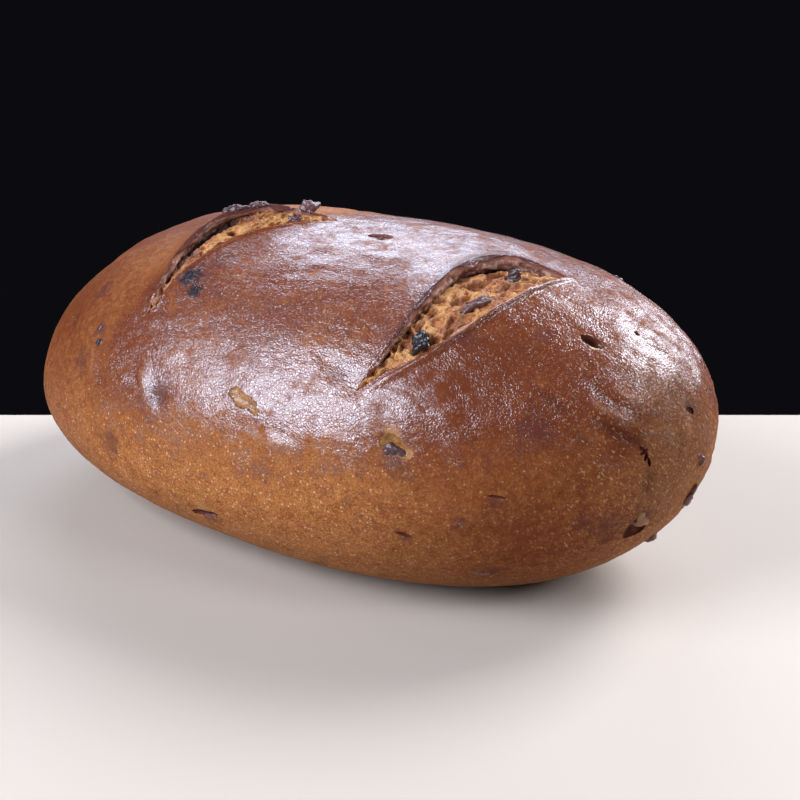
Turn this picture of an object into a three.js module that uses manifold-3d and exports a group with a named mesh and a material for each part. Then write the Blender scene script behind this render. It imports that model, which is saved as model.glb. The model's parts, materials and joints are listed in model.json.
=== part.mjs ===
// Onion bread: an oval hearth loaf with a flat sole, slashed twice across its crown.
// The slashes opened in the oven: one edge of each rose into a lip, over torn crumb.
// Bits of browned onion are baked into the crust and the crumb, so the loaf is one solid.
//
// Millimetres, +Z up. +X runs along the loaf to its blunter end, -Y is the flank where the
// slashes start, and the origin is on the sole, under the middle of the loaf.
import * as THREE from "three";
import { mergeVertices } from "three/addons/utils/BufferGeometryUtils.js";
import { ImprovedNoise } from "three/addons/math/ImprovedNoise.js";
import Module from "manifold-3d";

// Driving dimensions of the dough
const LENGTH = 224;
const WIDTH = 132;
const CROWN = 92;
const WIDEST = 38; // height of the widest line, at mid-length
const TIP = { left: 28, right: 51 }; // height of each end's tip
const SINK = 5.5; // how far the round underside would reach below the floor
const SOLE_ROUND = 2; // half height over which the sole turns up into the flank
// The part of the sole that bears the loaf, pressed flattest: it lies a little below the rest,
// and sinks in with sloping sides
const BEARING = { along: -3.5, long: 66, wide: 38, below: 0.4, root: 0.6, spread: 1.1 };

// Powers of the outlines: 2 is an ellipse, and more is fuller towards the end
const PLAN_POWER = { left: 2.5, right: 1.9 };
const CROWN_POWER = { left: 2.4, right: 2.6 };
const SOLE_POWER = { left: 1.9, right: 4.2 };
const FLANK_POWER = 2.16; // the section below the widest line

// Unevenness of the risen dough: a saddle in the crown between the slashes, lumps and dimples
const SADDLE = { along: -18, reach: 26, drop: 2.2 };
const LUMP = { size: 42, height: 0.8, seed: 3.1 };
const DIMPLE = { size: 15, height: 0.35, seed: 7.7 };

// The slashes, in plan. The lip is on the -X side, bow moves the middle of the slash towards +X,
// and skew above 1 puts the widest place and the highest lip nearer to the back end.
const SLASHES = [
  { front: [-42, -48], back: [-11, 3], bow: -8.5, opening: 11, skew: 1.6, lip: 6, depth: 4 },
  { front: [37, -53], back: [69, 3], bow: -1, opening: 17, skew: 1.2, lip: 5, depth: 2.4 },
];
const LIP_REACH = 20; // distance from the lip's edge at which the crown is level again
const LIP_ROOT = 3; // how far the raised crust reaches down into the dough
const LIP_SINK = 0.3; // its thin edges lie this far below the crust
const LIP_OVERLAP = 1; // it is made this far past the lip's edge, and trimmed by the slash
const RIM_STEP = 1; // drop from the low edge across from the lip to the torn crumb
const UNDERCUT = 2.5; // how far the torn crumb runs in under the lip
const TIP_OPENING = 0.8; // a slash's width at its very end
const CUTTER_ABOVE = 14; // what a slash takes away starts this far above the crust
const CRAG = { size: 4.5, height: 1.1, seed: 5.3 }; // relief of the torn crumb
const CRUMB_SLOPE = 0.8; // below 1, the crumb drops quickly behind the rim

// Places on the crust: along is X, and round is the angle from the crown, positive to the -Y flank
const HOLES = [
  { along: 87, round: 23, long: 7.5, wide: 3.4, deep: 4 },
  { along: 10, round: 6, long: 6, wide: 4.6, deep: 3 },
  { along: 52, round: 75, long: 11, wide: 6, deep: 2.6 },
  { along: 3, round: 68, long: 7.5, wide: 4.6, deep: 1.6 },
  { along: -11, round: 113, long: 9, wide: 4, deep: 2.2 },
  { along: 106, round: 77, long: 4, wide: 3.4, deep: 2.4 },
  { along: -38, round: -58, long: 8, wide: 4, deep: 2.4 },
  { along: 44, round: -40, long: 6, wide: 3.6, deep: 3 },
  { along: 12, round: -84, long: 9, wide: 5, deep: 2 },
];
const CRUST_BITS = [
  { along: -21, round: -2, size: 7, proud: 4.2 },
  { along: -52, round: -3, size: 5, proud: 1.8 },
  { along: -58, round: 60, size: 4, proud: 1.0 },
  { along: 51.5, round: 77, size: 6, proud: 0.4 },
  { along: 103.5, round: 136, size: 7, proud: 2.2 },
  { along: 107.5, round: -171, size: 6.5, proud: 3.0 },
  { along: 111, round: -161, size: 4, proud: 1.6 },
  { along: 98, round: 178, size: 5, proud: 1.6 },
  { along: 70, round: 127, size: 4.5, proud: 0.8 },
  { along: -35, round: 36, size: 6.5, proud: 1.0 },
];
const CRUMB_BITS = [
  { slash: 1, along: 0.16, across: 0.1, size: 7, proud: 2.6 },
  { slash: 1, along: 0.5, across: 0.45, size: 7.5, proud: 1.4 },
  { slash: 1, along: 0.78, across: -0.1, size: 5.5, proud: 1.6 },
  { slash: 0, along: 0.62, across: 0.3, size: 4.5, proud: 1.2 },
];
// Further bits, spread evenly over the back of the loaf
const BACK_BITS = { count: 14, span: 193, round: [-36, -118], size: [3.6, 6], proud: [0.6, 1.8], seed: 31 };
const BIT_WIDTH = 0.75; // a bit's width, thickness and unevenness, as shares of its size
const BIT_THICKNESS = 0.62;
const BIT_RAGGED = 0.35;

const CRUST_DETAIL = 17; // rows in each face of the starting icosahedron, less one
const CROWN_CROWDING = 0.3; // draws the rows together on the crown, where the slashes are
const SLASH_ROWS = { along: 30, across: 9 };
const LIP_ROWS = 6;
const CLOSE_CORNERS = 0.02; // corners nearer than this, left by cutting, become one

const wasm = await Module();
wasm.setup();
const noise = new ImprovedNoise();

const side = (values, u) => (u < 0 ? values.left : values.right);
const power = (value, exponent) => Math.sign(value) * Math.abs(value) ** exponent;
const dome = (u, exponent) => Math.sqrt(Math.max(0, 1 - Math.abs(u) ** exponent));
const wobble = (p, { size, height, seed }) =>
  height * noise.noise(p.x / size + seed, p.y / size - seed, p.z / size + 2 * seed);

// Half width, height of the widest line, and rise and drop from it, at a station u from -1 to 1
function station(u) {
  return {
    half: (WIDTH / 2) * dome(u, side(PLAN_POWER, u)),
    middle: WIDEST + (side(TIP, u) - WIDEST) * u * u,
    rise: (CROWN - WIDEST) * dome(u, side(CROWN_POWER, u)),
    drop: (WIDEST + SINK) * dome(u, side(SOLE_POWER, u)),
  };
}

// Presses the round underside flat just above the floor, with a soft turn up into the flank
function pressFlat(z) {
  const above = z - BEARING.below;
  if (above >= SOLE_ROUND) return z;
  if (above <= -SOLE_ROUND) return BEARING.below;
  return BEARING.below + (above + SOLE_ROUND) ** 2 / (4 * SOLE_ROUND);
}

// The plain loaf's surface at a station, at an angle in radians from the crown towards -Y
function plainSurface(u, angle) {
  const { half, middle, rise, drop } = station(u);
  const up = Math.cos(angle);
  const exponent = up >= 0 ? 1 : 2 / FLANK_POWER;
  const y = -half * power(Math.sin(angle), exponent);
  const z = middle + (up >= 0 ? rise : drop) * power(up, exponent);
  return new THREE.Vector3((u * LENGTH) / 2, y, pressFlat(z));
}

function plainNormal(u, angle) {
  const step = 1e-3;
  const along = plainSurface(u + step, angle).sub(plainSurface(u - step, angle));
  const round = plainSurface(u, angle + step).sub(plainSurface(u, angle - step));
  return along.cross(round).negate().normalize();
}

// The angle from the crown of a place above the widest line, given in plan
function crownAngle(x, y) {
  const { half } = station((2 * x) / LENGTH);
  return -Math.asin(THREE.MathUtils.clamp(y / half, -1, 1));
}

// A slash's own frame in plan: its line, its length, and the direction across it, away from the lip
function slashFrame({ front, back }) {
  const start = new THREE.Vector2(...front);
  const line = new THREE.Vector2(...back).sub(start);
  const length = line.length();
  const along = line.divideScalar(length);
  return { start, length, along, across: new THREE.Vector2(along.y, -along.x) };
}

// Share of a slash's full width and lip at a place along it, from 0 at the ends
const swelling = (along, { skew }) => Math.sin(Math.PI * THREE.MathUtils.clamp(along, 0, 1) ** skew);
const bowing = (along, { bow }) => bow * Math.sin(Math.PI * THREE.MathUtils.clamp(along, 0, 1));

// The loaf's crust without its slashes: the plain form, with lumps that fade out at the sole
function crustPoint(u, angle) {
  const point = plainSurface(u, angle);
  const fade = THREE.MathUtils.smoothstep(point.z, SOLE_ROUND, SOLE_ROUND + LUMP.size / 4);
  const lift = fade * (wobble(point, LUMP) + wobble(point, DIMPLE));
  const saddle = Math.exp(-(((point.x - SADDLE.along) / SADDLE.reach) ** 2)) * Math.max(0, Math.cos(angle));
  return point.addScaledVector(plainNormal(u, angle), lift - SADDLE.drop * saddle);
}

// Turns a closed three.js geometry into a solid
function solidOf(geometry) {
  const bare = new THREE.BufferGeometry();
  bare.setAttribute("position", geometry.getAttribute("position"));
  bare.setIndex(geometry.getIndex());
  const merged = mergeVertices(bare, 1e-4);
  return new wasm.Manifold(
    new wasm.Mesh({
      numProp: 3,
      vertProperties: merged.getAttribute("position").array,
      triVerts: new Uint32Array(merged.getIndex().array),
    }),
  );
}

function geometryOf(solid) {
  const { vertProperties, triVerts } = solid.getMesh();
  const geometry = new THREE.BufferGeometry();
  geometry.setAttribute("position", new THREE.BufferAttribute(vertProperties, 3));
  geometry.setIndex(new THREE.BufferAttribute(triVerts, 1));
  return geometry;
}

// Moves each corner of a geometry by a rule
function mapped(geometry, rule) {
  const corners = geometry.getAttribute("position");
  const corner = new THREE.Vector3();
  for (let i = 0; i < corners.count; i++) {
    const { x, y, z } = rule(corner.fromBufferAttribute(corners, i));
    corners.setXYZ(i, x, y, z);
  }
  return geometry;
}

function dough() {
  const ball = new THREE.IcosahedronGeometry(1, CRUST_DETAIL);
  const shaped = mapped(ball, (corner) => {
    const even = Math.atan2(-corner.y, corner.z);
    const angle = even - CROWN_CROWDING * Math.sin(even);
    return crustPoint(THREE.MathUtils.clamp(corner.x, -1, 1), angle);
  });
  return solidOf(shaped);
}

function bearing() {
  const { along, long, wide, below, root, spread } = BEARING;
  const pad = mapped(new THREE.BoxGeometry(long, wide, 1), (corner) => {
    const sunk = corner.z > 0;
    const widen = sunk ? spread : 1;
    return corner.set(along + corner.x * widen, corner.y * widen, sunk ? below + root : 0);
  });
  return solidOf(pad);
}

// A place at a slash: along it from 0 to 1, and across it from the lip at -1 to the rim at 1,
// moved further across by a distance in millimetres
function slashPlace(slash, along, across, aside = 0) {
  const frame = slashFrame(slash);
  const reach = Math.max(TIP_OPENING, slash.opening * swelling(along, slash)) / 2;
  const offset = bowing(along, slash) + across * reach + aside;
  const place = frame.start.clone();
  place.addScaledVector(frame.along, along * frame.length).addScaledVector(frame.across, offset);
  const u = (2 * place.x) / LENGTH;
  const angle = crownAngle(place.x, place.y);
  return { point: crustPoint(u, angle), normal: plainNormal(u, angle) };
}

// The crust that rose beside a slash: a wedge bent along it, highest at the lip's edge
function slashLip(slash) {
  const wedge = new THREE.BoxGeometry(1, 1, 2, SLASH_ROWS.along, LIP_ROWS, 1);
  const shaped = mapped(wedge, (corner) => {
    const along = corner.x + 0.5;
    const away = corner.y + 0.5;
    const swell = swelling(along, slash);
    const aside = LIP_OVERLAP - away * (LIP_REACH * Math.sqrt(swell) + LIP_OVERLAP);
    const { point, normal } = slashPlace(slash, along, -1, aside);
    if (corner.z < 0) return point.addScaledVector(normal, -LIP_ROOT);
    const rise = (slash.lip + LIP_SINK) * swell * (1 - away) ** 2;
    return point.addScaledVector(normal, rise - LIP_SINK);
  });
  return solidOf(shaped);
}

// Depth of the torn crumb: deep under the lip, and one step below the crust at the rim
function crumbDepth(slash, along, across) {
  const atLip = (1 - across) / 2;
  const depth = RIM_STEP + (slash.depth - RIM_STEP) * atLip ** CRUMB_SLOPE;
  return depth * Math.sqrt(swelling(along, slash));
}

// What a slash takes away: a bar bent along it, with crags on its underside
function slashCutter(slash) {
  const bar = new THREE.BoxGeometry(1, 2, 2, SLASH_ROWS.along, SLASH_ROWS.across, 1);
  const shaped = mapped(bar, (corner) => {
    const along = corner.x + 0.5;
    const across = -corner.y; // across runs to the right of along, so this keeps the faces outwards
    const above = corner.z > 0;
    const atLip = (1 - across) / 2;
    const aside = above ? 0 : -UNDERCUT * atLip ** 3 * swelling(along, slash);
    const { point, normal } = slashPlace(slash, along, across, aside);
    if (above) return point.addScaledVector(normal, CUTTER_ABOVE);
    const crag = wobble(point, CRAG) * swelling(along, slash);
    return point.addScaledVector(normal, crag - crumbDepth(slash, along, across));
  });
  return solidOf(shaped);
}

// A ragged or smooth blob set on a place, flat side down
function blob(ball, point, normal, { long, wide, thick, ragged, turn, seed }) {
  const pose = new THREE.Quaternion().setFromUnitVectors(new THREE.Vector3(0, 0, 1), normal);
  const spin = new THREE.Quaternion().setFromAxisAngle(new THREE.Vector3(0, 0, 1), turn);
  const shaped = mapped(ball, (corner) => {
    const uneven = 1 + ragged * noise.noise(2 * corner.x + seed, 2 * corner.y, 2 * corner.z - seed);
    const at = corner.clone().multiplyScalar(uneven);
    at.set(at.x * long, at.y * wide, at.z * thick).applyQuaternion(spin).applyQuaternion(pose);
    return at.add(point);
  });
  return solidOf(shaped);
}

function hole({ along, round, long, wide, deep }) {
  const u = (2 * along) / LENGTH;
  const angle = THREE.MathUtils.degToRad(round);
  const shape = { long, wide, thick: 2 * deep, ragged: 0, turn: 0, seed: 0 };
  return blob(new THREE.IcosahedronGeometry(0.5, 1), crustPoint(u, angle), plainNormal(u, angle), shape);
}

// A bit of onion. Its place along the loaf also turns it and seeds its unevenness.
function bit(point, normal, { along, size, proud }) {
  const thick = BIT_THICKNESS * size;
  const centre = point.clone().addScaledVector(normal, proud - thick / 2);
  const shape = { long: size, wide: BIT_WIDTH * size, thick, ragged: BIT_RAGGED, turn: along, seed: along };
  return blob(new THREE.OctahedronGeometry(0.5, 1), centre, normal, shape);
}

function crustBit(place) {
  const u = (2 * place.along) / LENGTH;
  const angle = THREE.MathUtils.degToRad(place.round);
  return bit(crustPoint(u, angle), plainNormal(u, angle), place);
}

function crumbBit(place) {
  const slash = SLASHES[place.slash];
  const { point, normal } = slashPlace(slash, place.along, place.across);
  point.addScaledVector(normal, -crumbDepth(slash, place.along, place.across));
  return bit(point, normal, place);
}

// Bits on the back, one to each equal step along the loaf, with a seeded draw for the rest
function backBits() {
  const { count, span, round, size, proud, seed } = BACK_BITS;
  THREE.MathUtils.seededRandom(seed);
  const between = ([low, high]) => THREE.MathUtils.lerp(low, high, THREE.MathUtils.seededRandom());
  return Array.from({ length: count }, (_, i) => ({
    along: span * ((i + 0.5) / count - 0.5),
    round: between(round),
    size: between(size),
    proud: between(proud),
  }));
}

function loaf() {
  const onion = [...CRUST_BITS, ...backBits()].map(crustBit).concat(CRUMB_BITS.map(crumbBit));
  const risen = SLASHES.reduce((solid, slash) => solid.add(slashLip(slash)), dough().add(bearing()));
  const cut = [...SLASHES.map(slashCutter), ...HOLES.map(hole)];
  const carved = cut.reduce((solid, tool) => solid.subtract(tool), risen);
  const whole = onion.reduce((solid, piece) => solid.add(piece), carved);
  const bodies = whole.decompose();
  bodies.sort((a, b) => b.volume() - a.volume());
  const geometry = geometryOf(bodies[0].simplify(CLOSE_CORNERS));
  geometry.computeBoundingBox();
  const { min, max } = geometry.boundingBox;
  geometry.translate(-(min.x + max.x) / 2, -(min.y + max.y) / 2, -min.z);
  geometry.computeVertexNormals();
  const crust = new THREE.MeshStandardMaterial({ color: 0x8f4f26, roughness: 0.42, metalness: 0 });
  const mesh = new THREE.Mesh(geometry, crust);
  mesh.name = "loaf";
  return mesh;
}

const bread = new THREE.Group();
bread.add(loaf());
export default bread;
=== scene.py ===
# %% [markdown]
# Onion bread, dressed for its portrait.
# The real thing is an oval hearth loaf. Its dough was brushed and slashed twice, and in the oven
# each slash tore open: one edge curled up into a lip and golden crumb shows below it. Browned
# onion sits in the crust and in the crumb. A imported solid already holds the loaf's size and its
# main forms, so this lesson loads it as a fixed frame and builds the finer loaf in its place.

# %% Load the frame
import json
import math

import bmesh
import bpy
import numpy as np
from mathutils import Matrix, Vector, noise
from mathutils.bvhtree import BVHTree

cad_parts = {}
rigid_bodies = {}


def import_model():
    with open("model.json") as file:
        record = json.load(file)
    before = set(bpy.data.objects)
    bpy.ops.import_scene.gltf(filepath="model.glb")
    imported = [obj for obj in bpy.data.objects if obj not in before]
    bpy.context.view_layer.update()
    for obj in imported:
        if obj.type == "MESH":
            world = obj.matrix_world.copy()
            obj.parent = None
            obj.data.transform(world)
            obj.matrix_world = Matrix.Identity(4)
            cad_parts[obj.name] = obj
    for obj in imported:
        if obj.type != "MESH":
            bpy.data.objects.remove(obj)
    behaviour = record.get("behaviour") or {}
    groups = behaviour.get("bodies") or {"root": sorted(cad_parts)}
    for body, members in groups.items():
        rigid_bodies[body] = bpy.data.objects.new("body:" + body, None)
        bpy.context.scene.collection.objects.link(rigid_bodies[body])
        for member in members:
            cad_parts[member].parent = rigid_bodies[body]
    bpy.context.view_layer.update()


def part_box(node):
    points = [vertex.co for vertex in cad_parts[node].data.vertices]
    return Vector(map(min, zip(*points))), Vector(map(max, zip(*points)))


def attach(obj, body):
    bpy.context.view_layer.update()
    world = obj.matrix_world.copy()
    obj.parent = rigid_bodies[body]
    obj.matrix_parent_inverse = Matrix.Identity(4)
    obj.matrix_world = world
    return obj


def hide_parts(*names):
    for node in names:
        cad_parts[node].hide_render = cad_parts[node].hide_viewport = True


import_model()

MM = 0.001
scene = bpy.context.scene
low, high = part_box("loaf")
print("solid loaf, mm:", [round((b - a) / MM, 1) for a, b in zip(low, high)])

# %% [markdown]
# A few small tools serve every step. Colours are picked as sRGB hex values, because that is how
# an eye reads them on a screen, and shaders want linear light. One function adds any node, sets
# it and links it. Geometry Nodes trees are run on a mesh and leave a plain mesh behind, because
# a finished piece should not depend on live modifiers. Points are handled as arrays in
# millimetres, which is quick and easy to read.

# %% Small tools
def linear(hex_colour):
    """Linear RGBA of an sRGB hex colour."""
    parts = [int(hex_colour[i:i + 2], 16) / 255 for i in (1, 3, 5)]
    return [p / 12.92 if p <= 0.04045 else ((p + 0.055) / 1.055) ** 2.4 for p in parts] + [1.0]


def feed(tree, node, inputs):
    """Gives each of a node's inputs a value or a link."""
    for key, value in inputs.items():
        if isinstance(value, bpy.types.Node):
            value = value.outputs[0]
        if isinstance(value, bpy.types.NodeSocket):
            tree.links.new(value, node.inputs[key])
        else:
            node.inputs[key].default_value = value


def add(tree, kind, inputs=None, **settings):
    """Adds a node with its settings, and feeds its inputs."""
    node = tree.nodes.new(kind)
    for name, setting in settings.items():
        setattr(node, name, setting)
    feed(tree, node, inputs or {})
    return node


def geometry_tree(name, sizes):
    """An empty Geometry Nodes tree with a named input for each size, and those inputs."""
    tree = bpy.data.node_groups.new(name, "GeometryNodeTree")
    tree.interface.new_socket("Geometry", in_out="INPUT", socket_type="NodeSocketGeometry")
    tree.interface.new_socket("Geometry", in_out="OUTPUT", socket_type="NodeSocketGeometry")
    for label in sizes:
        tree.interface.new_socket(label, in_out="INPUT", socket_type="NodeSocketFloat")
    return tree, add(tree, "NodeGroupInput").outputs


def grown(tree, geometry, material, sizes, mesh):
    """Ends a tree, runs it on a mesh and returns the plain mesh that comes out."""
    whole = add(tree, "GeometryNodeRealizeInstances", {"Geometry": geometry})
    dressed = add(tree, "GeometryNodeSetMaterial", {"Geometry": whole, "Material": material})
    add(tree, "NodeGroupOutput", {"Geometry": dressed})
    holder = bpy.data.objects.new(tree.name, mesh)
    scene.collection.objects.link(holder)
    modifier = holder.modifiers.new(tree.name, "NODES")
    modifier.node_group = tree
    for item in tree.interface.items_tree:
        if item.in_out == "INPUT" and item.name in sizes:
            modifier[item.identifier] = sizes[item.name]
    depsgraph = bpy.context.evaluated_depsgraph_get()
    made = bpy.data.meshes.new_from_object(holder.evaluated_get(depsgraph))
    holder.modifiers.remove(modifier)
    bpy.data.objects.remove(holder)
    return made


def rows_of(items, field):
    """One field of a mesh's points, as an array with a row for each."""
    flat = np.empty(3 * len(items), np.float32)
    items.foreach_get(field, flat)
    return flat.reshape(-1, 3).astype(float)


def corners(mesh):
    """A mesh's points in millimetres."""
    return rows_of(mesh.vertices, "co") / MM


def move_corners(mesh, points):
    """Puts a mesh's points at new places in millimetres."""
    mesh.vertices.foreach_set("co", (points * MM).astype(np.float32).ravel())
    mesh.update()


crust_material = bpy.data.materials.new("baked_bread_crust_brushed")
crumb_material = bpy.data.materials.new("torn_bread_crumb_toasted")
onion_material = bpy.data.materials.new("browned_onion_shrivelled")
for material in (crust_material, crumb_material, onion_material):
    print("material", material.name)

# %% [markdown]
# The dough's form follows a rule, so Geometry Nodes can make it. Each station along the loaf is
# an oval: wide in plan, domed above its widest line, fuller below it and pressed flat where it
# lies. A sculpted ball would do too, but the rule keeps the loaf on the solid's own sizes. The
# tree starts from a cube whose points are blown up to an even ball, and each row of the table
# is one Math node.

# %% The loaf's rule
PROUD = (0.44, 0.74, 1.43)  # how far lips and onion stand out past the plain dough each way, in mm
half_length, half_width, crown = (
    (high.x - low.x) / 2 - PROUD[0] * MM,
    (high.y - low.y) / 2 - PROUD[1] * MM,
    high.z - PROUD[2] * MM,
)
FORM = {
    "Half Length": half_length, "Half Width": half_width, "Crown": crown,
    "Widest": 38 * MM, "Sink": 5.5 * MM, "Sole Round": 3 * MM,
    "Tip Left": 28 * MM, "Tip Right": 51 * MM,
    "Plan Power Left": 2.5, "Plan Power Right": 1.9,
    "Crown Power Left": 2.4, "Crown Power Right": 2.6,
    "Sole Power Left": 1.9, "Sole Power Right": 4.2,
    "Flank Roundness": 2 / 2.16,
    "Saddle Along": -18 * MM, "Saddle Reach": 26 * MM, "Saddle Drop": 2.2 * MM,
    "Aside X": -0.44 * MM, "Aside Y": -0.36 * MM,
}
ROWS = {"Vertices X": 144, "Vertices Y": 78, "Vertices Z": 60}  # about 1.2 mm apart on the crust

rule = [("left", "LESS_THAN", "x", 0.0), ("u", "ABSOLUTE", "x"), ("above", "GREATER_THAN", "ring z", 0.0)]
domes = [
    row
    for name in ("Plan", "Crown", "Sole")
    for row in (
        (name + " fall", "POWER", "u", name + " Power"),
        (name + " rest", "SUBTRACT", 1.0, name + " fall"),
        (name + " open", "MAXIMUM", name + " rest", 0.0),
        (name + " dome", "SQRT", name + " open"),
    )
]
sections = [
    ("half", "MULTIPLY", "Plan dome", "Half Width"),
    ("squared", "MULTIPLY", "u", "u"),
    ("tip rise", "SUBTRACT", "Tip", "Widest"),
    ("middle", "MULTIPLY_ADD", "tip rise", "squared", "Widest"),
    ("full rise", "SUBTRACT", "Crown", "Widest"),
    ("rise", "MULTIPLY", "Crown dome", "full rise"),
    ("full drop", "ADD", "Widest", "Sink"),
    ("drop", "MULTIPLY", "Sole dome", "full drop"),
]
surface = [
    ("size y", "ABSOLUTE", "ring y"),
    ("round y", "POWER", "size y", "power"),
    ("side y", "SIGN", "ring y"),
    ("share y", "MULTIPLY", "round y", "side y"),
    ("size z", "ABSOLUTE", "ring z"),
    ("round z", "POWER", "size z", "power"),
    ("side z", "SIGN", "ring z"),
    ("share z", "MULTIPLY", "round z", "side z"),
    ("out x", "MULTIPLY", "x", "Half Length"),
    ("out y", "MULTIPLY_ADD", "share y", "half", "Aside Y"),
    ("round loaf", "MULTIPLY_ADD", "share z", "reach", "middle"),
    ("pressed", "SMOOTH_MAX", "round loaf", 0.0, "Sole Round"),
    ("from saddle", "SUBTRACT", "out x", "Saddle Along"),
    ("reaches", "DIVIDE", "from saddle", "Saddle Reach"),
    ("apart", "MULTIPLY", "reaches", "reaches"),
    ("fading", "MULTIPLY", "apart", -1.0),
    ("bell", "EXPONENT", "fading"),
    ("on top", "MAXIMUM", "ring z", 0.0),
    ("dip", "MULTIPLY", "bell", "on top"),
    ("sunk", "MULTIPLY", "dip", "Saddle Drop"),
    ("out z", "SUBTRACT", "pressed", "sunk"),
    ("final x", "ADD", "out x", "Aside X"),
]
print("the rule has", len(rule) + len(domes) + len(sections) + len(surface), "steps")

# %% Grow the dough
form_tree, given = geometry_tree("loaf_form", FORM)
value = {label: given[label] for label in FORM}


def follow(tree, rows):
    """Adds one Math node for each row, and keeps its value under the row's name."""
    for name, operation, *terms in rows:
        inputs = {i: value.get(term, term) for i, term in enumerate(terms)}
        value[name] = add(tree, "ShaderNodeMath", inputs, operation=operation, label=name)


block = add(form_tree, "GeometryNodeMeshCube", {"Size": (2, 2, 2), **ROWS})
place = add(form_tree, "GeometryNodeInputPosition")
eighth = add(form_tree, "ShaderNodeVectorMath", {0: place, 1: (math.pi / 4,) * 3}, operation="MULTIPLY")
spread = add(form_tree, "ShaderNodeVectorMath", {0: eighth}, operation="TANGENT")
ball = add(form_tree, "ShaderNodeVectorMath", {0: spread}, operation="NORMALIZE")
parts = add(form_tree, "ShaderNodeSeparateXYZ", {0: ball}).outputs
section = add(form_tree, "ShaderNodeCombineXYZ", {1: parts["Y"], 2: parts["Z"]})
ring = add(form_tree, "ShaderNodeVectorMath", {0: section}, operation="NORMALIZE")
ring_parts = add(form_tree, "ShaderNodeSeparateXYZ", {0: ring}).outputs
value.update({"x": parts["X"], "ring y": ring_parts["Y"], "ring z": ring_parts["Z"]})
follow(form_tree, rule)
for name in ("Plan Power", "Crown Power", "Sole Power", "Tip"):
    ends = {0: value["left"], 2: given[name + " Right"], 3: given[name + " Left"]}
    value[name] = add(form_tree, "ShaderNodeMix", ends, label=name)
follow(form_tree, domes + sections)
halves = {"power": (given["Flank Roundness"], 1.0), "reach": (value["drop"], value["rise"])}
for name, (below, over) in halves.items():
    value[name] = add(form_tree, "ShaderNodeMix", {0: value["above"], 2: below, 3: over}, label=name)
follow(form_tree, surface)
final = add(form_tree, "ShaderNodeCombineXYZ", {0: value["final x"], 1: value["out y"], 2: value["out z"]})
shaped = add(form_tree, "GeometryNodeSetPosition", {"Geometry": block, "Position": final})
dough = grown(form_tree, shaped, crust_material, FORM, bpy.data.meshes.new("dough"))
print("dough:", len(dough.polygons), "faces, box mm", np.ptp(corners(dough), axis=0).round(1))

# %% [markdown]
# Dough never rises evenly. Broad lumps, thumb-sized dents and wrinkles are pushed out along the
# surface normal by three layers of noise, in a second tree. The skin stretched round the loaf as
# it rose, so its wrinkles run lengthwise, and only the crown and the blunt end dried enough to
# have them. Bump in the material could fake the finest, but the broad ones bend the sheen and
# the outline, so they are real shape here. Nothing moves at the sole, which the oven stone
# pressed flat.

# %% Raise the crust's relief
RELIEF = {
    "Lump Size": 42 * MM, "Lump Height": 1.6 * MM, "Lump Length": 1.0,
    "Lump From": 2 * MM, "Lump Full": 14 * MM,
    "Dent Size": 12 * MM, "Dent Height": 1.4 * MM, "Dent Length": 1.4,
    "Dent From": 2 * MM, "Dent Full": 40 * MM,
    "Wrinkle Size": 3.8 * MM, "Wrinkle Height": 0.9 * MM, "Wrinkle Length": 2.4,
    "Wrinkle From": 36 * MM, "Wrinkle Full": 66 * MM,
    "End From": 80 * MM, "End Full": 100 * MM, "End Wrinkles": 2.2,
    "Patch Size": 26 * MM, "Patch Smooth": 0.42, "Patch Wrinkled": 0.62, "Patch Least": 0.25,
    "Seed": 4.0,
}


def pushed(tree, geometry):
    """Moves points along their normals by the value that is called push."""
    outwards = add(tree, "GeometryNodeInputNormal")
    push = add(tree, "ShaderNodeVectorMath", {0: outwards, "Scale": value["push"]}, operation="SCALE")
    return add(tree, "GeometryNodeSetPosition", {"Geometry": geometry, "Offset": push})


relief_tree, given = geometry_tree("crust_relief", RELIEF)
value = {label: given[label] for label in RELIEF}
place = add(relief_tree, "GeometryNodeInputPosition")
parts = add(relief_tree, "ShaderNodeSeparateXYZ", {0: place}).outputs
blunt = {"Value": parts["X"], 1: given["End From"], 2: given["End Full"], 4: given["End Wrinkles"]}
value["crumpled"] = add(relief_tree, "ShaderNodeMapRange", blunt, interpolation_type="SMOOTHSTEP")
follow(relief_tree, [("often", "DIVIDE", 1.0, "Patch Size")])
cloud = {"Vector": place, "Scale": value["often"], "Detail": 1.0}
patches = add(relief_tree, "ShaderNodeTexNoise", cloud)
skin = {"Value": patches, 1: given["Patch Smooth"], 2: given["Patch Wrinkled"], 3: given["Patch Least"]}
value["Wrinkle part"] = add(relief_tree, "ShaderNodeMapRange", skin)
value.update({"Lump part": 1.0, "Dent part": 1.0, "push": 0.0})
for name in ("Lump", "Dent", "Wrinkle"):
    follow(relief_tree, [
        ("often", "DIVIDE", 1.0, name + " Size"),
        ("drawn", "DIVIDE", "often", name + " Length"),
    ])
    counts = {0: value["drawn"], 1: value["often"], 2: value["often"]}
    stretch = add(relief_tree, "ShaderNodeCombineXYZ", counts)
    spot = add(relief_tree, "ShaderNodeVectorMath", {0: place, 1: stretch}, operation="MULTIPLY")
    cloud = {"Vector": spot, "Scale": 1.0, "W": given["Seed"], "Detail": 1.5}
    value["grey"] = add(relief_tree, "ShaderNodeTexNoise", cloud, noise_dimensions="4D")
    fade = {"Value": parts["Z"], 1: given[name + " From"], 2: given[name + " Full"]}
    value["fade"] = add(relief_tree, "ShaderNodeMapRange", fade, interpolation_type="SMOOTHSTEP")
    if name == "Wrinkle":
        follow(relief_tree, [("fade", "MAXIMUM", "fade", "crumpled")])
    follow(relief_tree, [
        ("even", "SUBTRACT", "grey", 0.5),
        ("swing", "MULTIPLY", "even", name + " Height"),
        ("shared", "MULTIPLY", "swing", name + " part"),
        ("push", "MULTIPLY_ADD", "shared", "fade", "push"),
    ])
uneven = pushed(relief_tree, given["Geometry"])
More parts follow.
